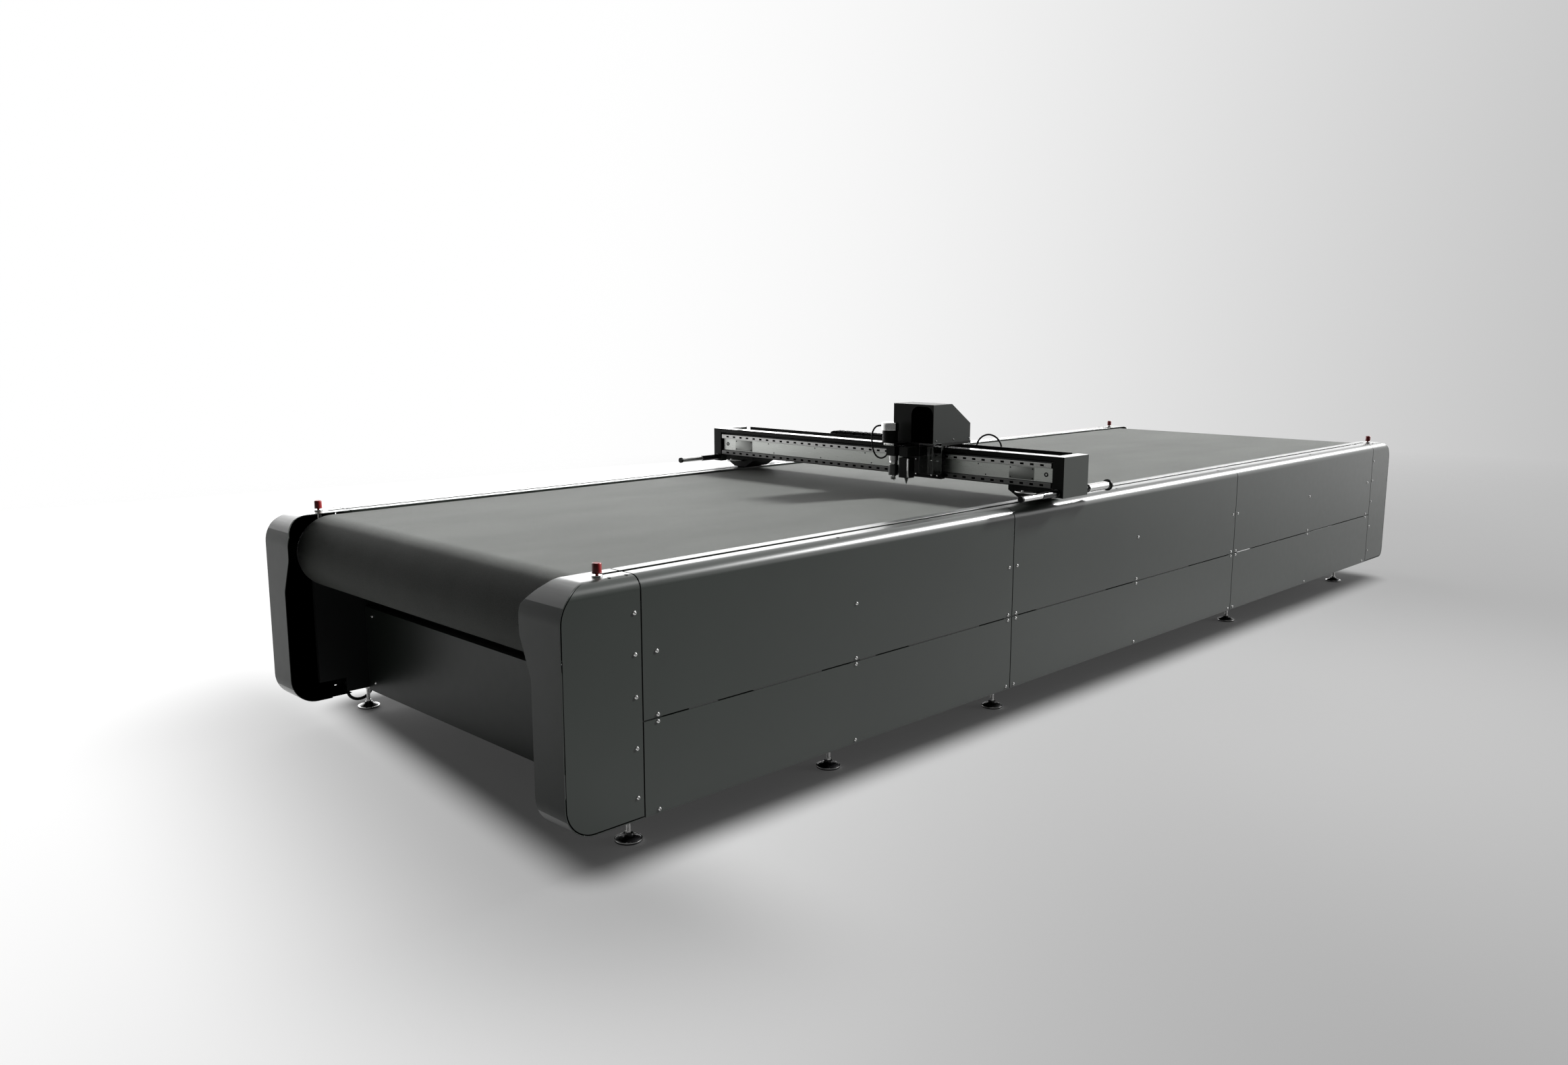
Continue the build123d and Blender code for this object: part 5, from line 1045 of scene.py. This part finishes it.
def build_chain():
    """Lower run on the tray, loop and upper run, each made as a piece of its own."""
    high_z = CHAIN_LOW_Z + 2 * CHAIN_BEND
    links = [chain_link(INNER_LINK_INSET), chain_link(0.0)]
    lower, loop, upper = fresh(3)
    lower_count = int(CHAIN_LOOP_Y / LINK_PITCH)
    upper_count = int((CHAIN_LOOP_Y - CHAIN_HEAD_Y) / LINK_PITCH) + 1
    for bm, count, z in ((lower, lower_count, CHAIN_LOW_Z), (upper, upper_count, high_z)):
        for step in range(count):
            stamp(bm, links[step % 2], (CHAIN_X, CHAIN_LOOP_Y - (step + 0.5) * LINK_PITCH, z), UP)
    for step in range(BEND_LINKS):
        turn = (step + 0.5) * math.pi / BEND_LINKS
        out, across = math.sin(turn), math.cos(turn)
        place = (CHAIN_X, CHAIN_LOOP_Y + CHAIN_BEND * out, CHAIN_LOW_Z + CHAIN_BEND * (1 - across))
        stamp(loop, links[1 - step % 2], place, (0, -out, across))
    for mesh in links:
        bpy.data.meshes.remove(mesh)
    for name, bm, start, end in (
            ("chain_lower_run", lower, 0.0, 2 * CHAIN_LOOP_Y),
            ("chain_loop", loop, CHAIN_LOOP_Y + EVEN_SPREAD, CHAIN_LOOP_Y - EVEN_SPREAD),
            ("chain_upper_run", upper, 2 * CHAIN_LOOP_Y - CHAIN_HEAD_Y, CHAIN_HEAD_Y)):
        piece = make_piece(name, bm, "chain black")
        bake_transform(piece)
        if name == "chain_upper_run":
            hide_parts("energy_chain")


class FLATBED_OT_chain(bpy.types.Operator):
    """Link the energy chain between the beam and the head"""

    bl_idname = "flatbed.chain"
    bl_label = "Energy chain"

    def execute(self, context):
        build_chain()
        return {"FINISHED"}


# Cutting head

KNIFE_X, KNIFE_Y = -0.925, -0.287
MOTOR_PLACE = (KNIFE_X, -0.264, 1.066)
MOTOR_RIBS = 5
CABLE_BORE, BOSS_RADIUS, BOSS_Z = 0.0041, 0.0070, 1.139
CROWN_PROFILE = (
    (0.0, 0.0530), (0.0385, 0.0530), (0.0400, 0.0545), (0.0400, 0.0610), (0.0390, 0.0620), (0.0390, 0.0635),
    (0.0400, 0.0645), (0.0400, 0.0800), (0.0392, 0.0842), (0.0370, 0.0876), (0.0335, 0.0895),
    (0.0290, 0.0900), (0.0200, 0.0893), (0.0, 0.0890))
DRIVE_MOTOR_WIDTH_LIMIT = 0.065
DRIVE_MOTOR_BLOCK = 0.058
NOZZLE_PROFILE = (
    (0.0096, 0.0), (0.0096, 0.0200), (0.0125, 0.0200), (0.0128, 0.0190), (0.0128, 0.0150), (0.0118, 0.0140),
    (0.0118, 0.0060), (0.0104, 0.0010), (0.0100, 0.0), (0.0096, 0.0))
SIDE_ROD_PROFILE = (
    (0.0, 0.0), (0.0042, 0.0), (0.0042, 0.0800), (0.0036, 0.0824), (0.0020, 0.0840), (0.0, 0.0845))
TONGUE_FRONT_X, CARRIAGE_FRONT_X = -0.9664, -0.8089


def build_motors():
    """Knife motor with a bright cap, its cable bosses, and the square drive motor in the housing."""
    body, cap, boss, drive = fresh(4)
    profile = [(0.0, 0.0), (0.0345, 0.0), (0.0360, 0.0015), (0.0360, 0.007), (0.0342, 0.0085)]
    for step in range(MOTOR_RIBS):
        base = 0.0095 + step * 0.0078
        profile += [(0.0342, base), (0.0352, base + 0.0008), (0.0352, base + 0.0056), (0.0342, base + 0.0064)]
    profile += [(0.0342, 0.0510), (0.0352, 0.0525), (0.0352, 0.0545), (0.0, 0.0545)]
    add_turned(body, MOTOR_PLACE, UP, profile, 48)
    add_turned(cap, MOTOR_PLACE, UP, CROWN_PROFILE, 64)
    add_ring(boss, (KNIFE_X, -0.2248, BOSS_Z), LEFT, CABLE_BORE, BOSS_RADIUS, 0.0090, 0.0012, 20)
    add_nut(boss, (KNIFE_X, -0.2252, BOSS_Z), LEFT, 0.0150, 0.0045)
    add_ring(boss, (KNIFE_X, -0.2566, 1.0440), UP, CABLE_BORE, BOSS_RADIUS, 0.0100, 0.0012, 20)
    for low, high in shells("head_motors"):
        if high.x - low.x < DRIVE_MOTOR_WIDTH_LIMIT:
            add_box(drive, low, (high.x, high.y, low.z + DRIVE_MOTOR_BLOCK), 0.003)
            middle = (low + high) / 2
            foot = DRIVE_MOTOR_BLOCK - 0.0005
            add_button(drive, (middle.x, middle.y, low.z + foot), UP, 0.021, high.z - low.z - foot, 0.003)
    finish_piece("knife_motor", body, "gantry black", "head", ["head_motors"])
    finish_piece("knife_motor_cap", cap, "bright metal", "head")
    finish_piece("motor_cable_bosses", boss, "black plastic", "head")
    finish_piece("head_drive_motor", drive, "motor paint", "head")


def trim_tools():
    """Bright flange of the tongue, knife sleeve and nozzle, and the side rod of the second tool."""
    flange, sleeve, nozzle, rod = fresh(4)
    add_box(flange, (-0.9666, -0.3206, 1.0545), (-0.9648, -0.2620, 1.0655), 0.0006)
    add_box(flange, (-0.9660, -0.3206, 1.0545), (-0.9200, -0.3188, 1.0655), 0.0006)
    add_ring(sleeve, (KNIFE_X, KNIFE_Y, 0.9674), UP, 0.0149, 0.0185, 0.0170, 0.0010)
    add_turned(nozzle, (KNIFE_X, KNIFE_Y, 0.9003), UP, NOZZLE_PROFILE)
    add_turned(rod, (-0.946, -0.3868, 0.9180), UP, SIDE_ROD_PROFILE, 16)
    finish_piece("tongue_flange", flange, "bright metal", "head")
    finish_piece("knife_sleeve", sleeve, "bright metal", "knife_quill")
    finish_piece("knife_nozzle", nozzle, "bright metal", "knife_quill")
    finish_piece("tool_side_rod", rod, "bright metal", "second_tool")


def bolt_head():
    """Socket screws on the carriage plate, the tongue and the housing's sides."""
    bm = bmesh.new()
    large = screw_head(0.0050, 0.0050, 0.0023)
    small = screw_head(0.0034, 0.0022, 0.0015)
    for y in (-0.447, -0.415, -0.325, -0.277):
        for z in (0.918, 0.985):
            stamp(bm, large, (CARRIAGE_FRONT_X, y, z), FRONT)
    for y in (-0.312, -0.272):
        stamp(bm, small, (TONGUE_FRONT_X, y, 1.060), FRONT)
    low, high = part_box("head_housing")
    for x in (-0.845, -0.72, -0.605):
        for y, outward in ((low.y, -1), (high.y, 1)):
            stamp(bm, small, (x, y - outward * 0.0001, 1.078), (0, outward, 0))
    for mesh in (large, small):
        bpy.data.meshes.remove(mesh)
    finish_piece("head_screws", bm, "screw steel", "head")


class FLATBED_OT_head(bpy.types.Operator):
    """Build the two motors, the trim of the tools and the bolts of the cutting head"""

    bl_idname = "flatbed.head"
    bl_label = "Cutting head"

    def execute(self, context):
        build_motors()
        trim_tools()
        bolt_head()
        return {"FINISHED"}


# Stage

# Directions across the machine's soft shadow, painted on the floor by holding its glow back, with the
# shadow's half size along each.
SHADOW_SIZES = (((1.5, -0.18, 0.0), 4.47), ((0.0, 1.6, 0.0), 1.576))
LEFTWARD = (-0.707, 0.707, 0.0)
RIGHTWARD = (0.707, -0.707, -0.12)
# Centre of a pool of light painted into the floor's glow on the right.
PAINTED_LIGHT_SPOT = (-0.2, -1.6, 0.0)
STUDIO_BRIGHT_SIDE = (0.6, 0.8, 0.0)
BROAD_LIGHT = (0.80, 0.20, 0.565)


def aim(obj, place, heading):
    """Camera or lamp put on a place and turned along a heading."""
    turn = Vector(heading).to_track_quat("-Z", "Y")
    configure(obj, location=place, rotation_mode="QUATERNION", rotation_quaternion=turn)


def place_camera():
    """Camera at the photograph's place and angle."""
    settings = stage_settings()
    data = configure(
        bpy.data.cameras.new("photo camera"), sensor_fit="HORIZONTAL", sensor_width=SENSOR_MM,
        lens=settings.focal_pixels / PHOTO_WIDTH * SENSOR_MM, clip_end=200.0)
    camera = add_object("photo camera", data)
    yaw, pitch = settings.camera_yaw, settings.camera_pitch
    heading = (math.sin(yaw) * math.cos(pitch), math.cos(yaw) * math.cos(pitch), math.sin(pitch))
    aim(camera, settings.camera_place, heading)
    bpy.context.scene.camera = camera


def lay_floor():
    """Round pale floor that fades into the backdrop. Its glow is whiter to the left, has a painted pool of
    light on the right, and is held back round the machine and before its near end as painted shadow.
    """
    bm = bmesh.new()
    bmesh.ops.create_circle(bm, cap_ends=True, segments=96, radius=30.0)
    floor = add_object("studio_floor", to_mesh(bm, "studio_floor"))
    finish = Finish("studio floor")
    past = []
    for direction, half in SHADOW_SIZES:
        size = finish.math("ABSOLUTE", finish.along(finish.place, direction))
        past.append(finish.math("MAXIMUM", finish.math("SUBTRACT", size, half)))
    squares = [finish.math("MULTIPLY", value, value) for value in past]
    away = finish.math("SQRT", finish.math("ADD", *squares))
    pale = finish.ramp(finish.along(finish.place, LEFTWARD), -0.6, 3.4, 0.33, 0.91)
    # Painted pool of light round that centre.
    painted_light_pool = finish.ramp(finish.distance(finish.place, PAINTED_LIGHT_SPOT), 0.4, 3.6, 0.16, 0.0)
    # Painted shadow that dims the glow before the near end.
    front = finish.ramp(finish.along(finish.place, FRONT), 2.7, 3.2, 0.0, 0.44)
    painted_front_shadow = finish.math("MULTIPLY", front, finish.ramp(away, 0.3, 1.9, 1.0, 0.0))
    pale = finish.math("MULTIPLY", finish.math("ADD", pale, painted_light_pool), finish.math("SUBTRACT", 1.0, painted_front_shadow))
    # No glow inside the shadow's box, so the machine's shadow is painted on the floor.
    glow_past_painted_shadow = finish.math("MULTIPLY", finish.ramp(away, 0.02, 0.34, 0.0, 0.96), pale)
    glow = finish.math("ADD", glow_past_painted_shadow, 0.040)
    finish.fill(finish.shader, {
        "Base Color": finish.tint(finish.noise(0.4), stage_settings().floor_colour, 0.985, 1.0),
        "Roughness": 0.85,
        "Specular IOR Level": 0.15,
        "Emission Color": WHITE,
        "Emission Strength": finish.math("MULTIPLY", glow, finish.seen_directly()),
    })
    reach = finish.distance(finish.mapped((0.75, 1.0, 1.0)), (0.0, 0.0, 0.0))
    fade = finish.span(reach, 1.0, 0.0, 4.0, 9.0)
    clear = finish.add("BsdfTransparent", "BSDF")
    mixed = finish.add("MixShader", "Shader", {"Fac": fade, 1: clear, 2: finish.shader.outputs["BSDF"]})
    finish.fill(finish.nodes["Material Output"], {"Surface": mixed})
    floor.data.materials.append(finish.material)
    return floor


def hang_backdrop():
    """White backdrop, greyer to the right, darker in mirrors to the front, and a broad light from behind."""
    world = bpy.data.worlds.new("studio backdrop")
    bpy.context.scene.world = world
    world.use_nodes = True
    tree = NodeKit(world.node_tree)
    tree.nodes.clear()
    heading = tree.add("TexCoord", "Generated")
    mirrored = tree.add("LightPath", "Is Glossy Ray")
    wall = tree.ramp(tree.along(heading, RIGHTWARD), -0.2, 0.95, 1.0, 0.38)
    shown = tree.math("MULTIPLY", wall, tree.math("SUBTRACT", 1.0, mirrored))
    studio = tree.ramp(tree.along(heading, STUDIO_BRIGHT_SIDE), -0.32, 0.52, 0.12, 1.0)
    seen = tree.math("ADD", shown, tree.math("MULTIPLY", studio, mirrored))
    broad = tree.ramp(tree.along(heading, BROAD_LIGHT), 0.35, 0.95, 0.0, stage_settings().fill_strength)
    lights = [
        tree.add("Background", "Background", {"Color": WHITE, "Strength": value}) for value in (broad, seen)]
    mixed = tree.add("MixShader", "Shader", {"Fac": tree.seen_directly(), 1: lights[0], 2: lights[1]})
    tree.fill(tree.nodes.new("ShaderNodeOutputWorld"), {"Surface": mixed})


def hang_lamp(data, place, heading):
    """Lamp that lights the machine but isn't seen itself."""
    lamp = add_object(data.name, data)
    aim(lamp, place, heading)
    lamp.visible_camera = False
    return lamp


def set_lights(floor):
    """Key from behind that spares the floor, two bright panels at the back and a soft light on the right."""
    settings = stage_settings()
    key = bpy.data.lights.new("key from behind", "SUN")
    configure(key, energy=settings.key_strength, angle=math.radians(7))
    lamp = hang_lamp(key, (4.0, -2.0, 4.0), (-0.83, 0.28, -0.48))
    spared = bpy.data.collections.new("spared by the key")
    spared.objects.link(floor)
    spared.collection_objects[0].light_linking.link_state = "EXCLUDE"
    lamp.light_linking.receiver_collection = spared
    for name, width, height, watts, place, heading in (
            ("bright panel", 12.8, 3.6, settings.panel_power, (2.6, 7.4, 1.9), (-0.15, -0.98, -0.15)),
            ("far panel", 18.0, 5.0, settings.far_power, (17.0, 8.0, 2.4), (-0.89, -0.44, -0.08)),
            ("side light", 6.0, 3.0, settings.side_power, (7.0, -7.5, 2.6), (-0.72, 0.67, -0.20))):
        data = bpy.data.lights.new(name, "AREA")
        configure(data, shape="RECTANGLE", size=width, size_y=height, energy=watts)
        hang_lamp(data, place, heading)


class FLATBED_OT_stage(bpy.types.Operator):
    """Set up the camera, the floor, the backdrop and the studio light"""

    bl_idname = "flatbed.stage"
    bl_label = "Stage"

    def execute(self, context):
        place_camera()
        floor = lay_floor()
        hang_backdrop()
        set_lights(floor)
        context.scene.view_settings.view_transform = "Standard"
        return {"FINISHED"}


# Add-on

CLASSES = (
    FlatbedFinishes, FlatbedSizes, FlatbedStage, FLATBED_OT_finishes, FLATBED_OT_cords, FLATBED_OT_belt,
    FLATBED_OT_screws, FLATBED_OT_feet, FLATBED_OT_stops, FLATBED_OT_gantry, FLATBED_OT_chain,
    FLATBED_OT_head, FLATBED_OT_stage)


class FLATBED_PT_panel(bpy.types.Panel):
    """Steps of the flatbed cutter"""

    bl_label = "Flatbed cutter"
    bl_idname = "FLATBED_PT_panel"
    bl_space_type = "VIEW_3D"
    bl_region_type = "UI"
    bl_category = "Flatbed"

    def draw(self, context):
        for step in CLASSES:
            if issubclass(step, bpy.types.Operator):
                self.layout.operator(step.bl_idname)


def register():
    for item in (*CLASSES, FLATBED_PT_panel):
        bpy.utils.register_class(item)
    bpy.types.Scene.flatbed_finishes = PointerProperty(type=FlatbedFinishes)
    bpy.types.Scene.flatbed_sizes = PointerProperty(type=FlatbedSizes)
    bpy.types.Scene.flatbed_stage = PointerProperty(type=FlatbedStage)


def unregister():
    del bpy.types.Scene.flatbed_stage
    del bpy.types.Scene.flatbed_sizes
    del bpy.types.Scene.flatbed_finishes
    for item in (FLATBED_PT_panel, *reversed(CLASSES)):
        bpy.utils.unregister_class(item)


def main():
    """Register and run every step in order."""
    register()
    bpy.ops.flatbed.finishes()
    bpy.ops.flatbed.cords()
    bpy.ops.flatbed.belt()
    bpy.ops.flatbed.screws()
    bpy.ops.flatbed.feet()
    bpy.ops.flatbed.stops()
    bpy.ops.flatbed.gantry()
    bpy.ops.flatbed.chain()
    bpy.ops.flatbed.head()
    bpy.ops.flatbed.stage()


if __name__ == "__main__":
    main()
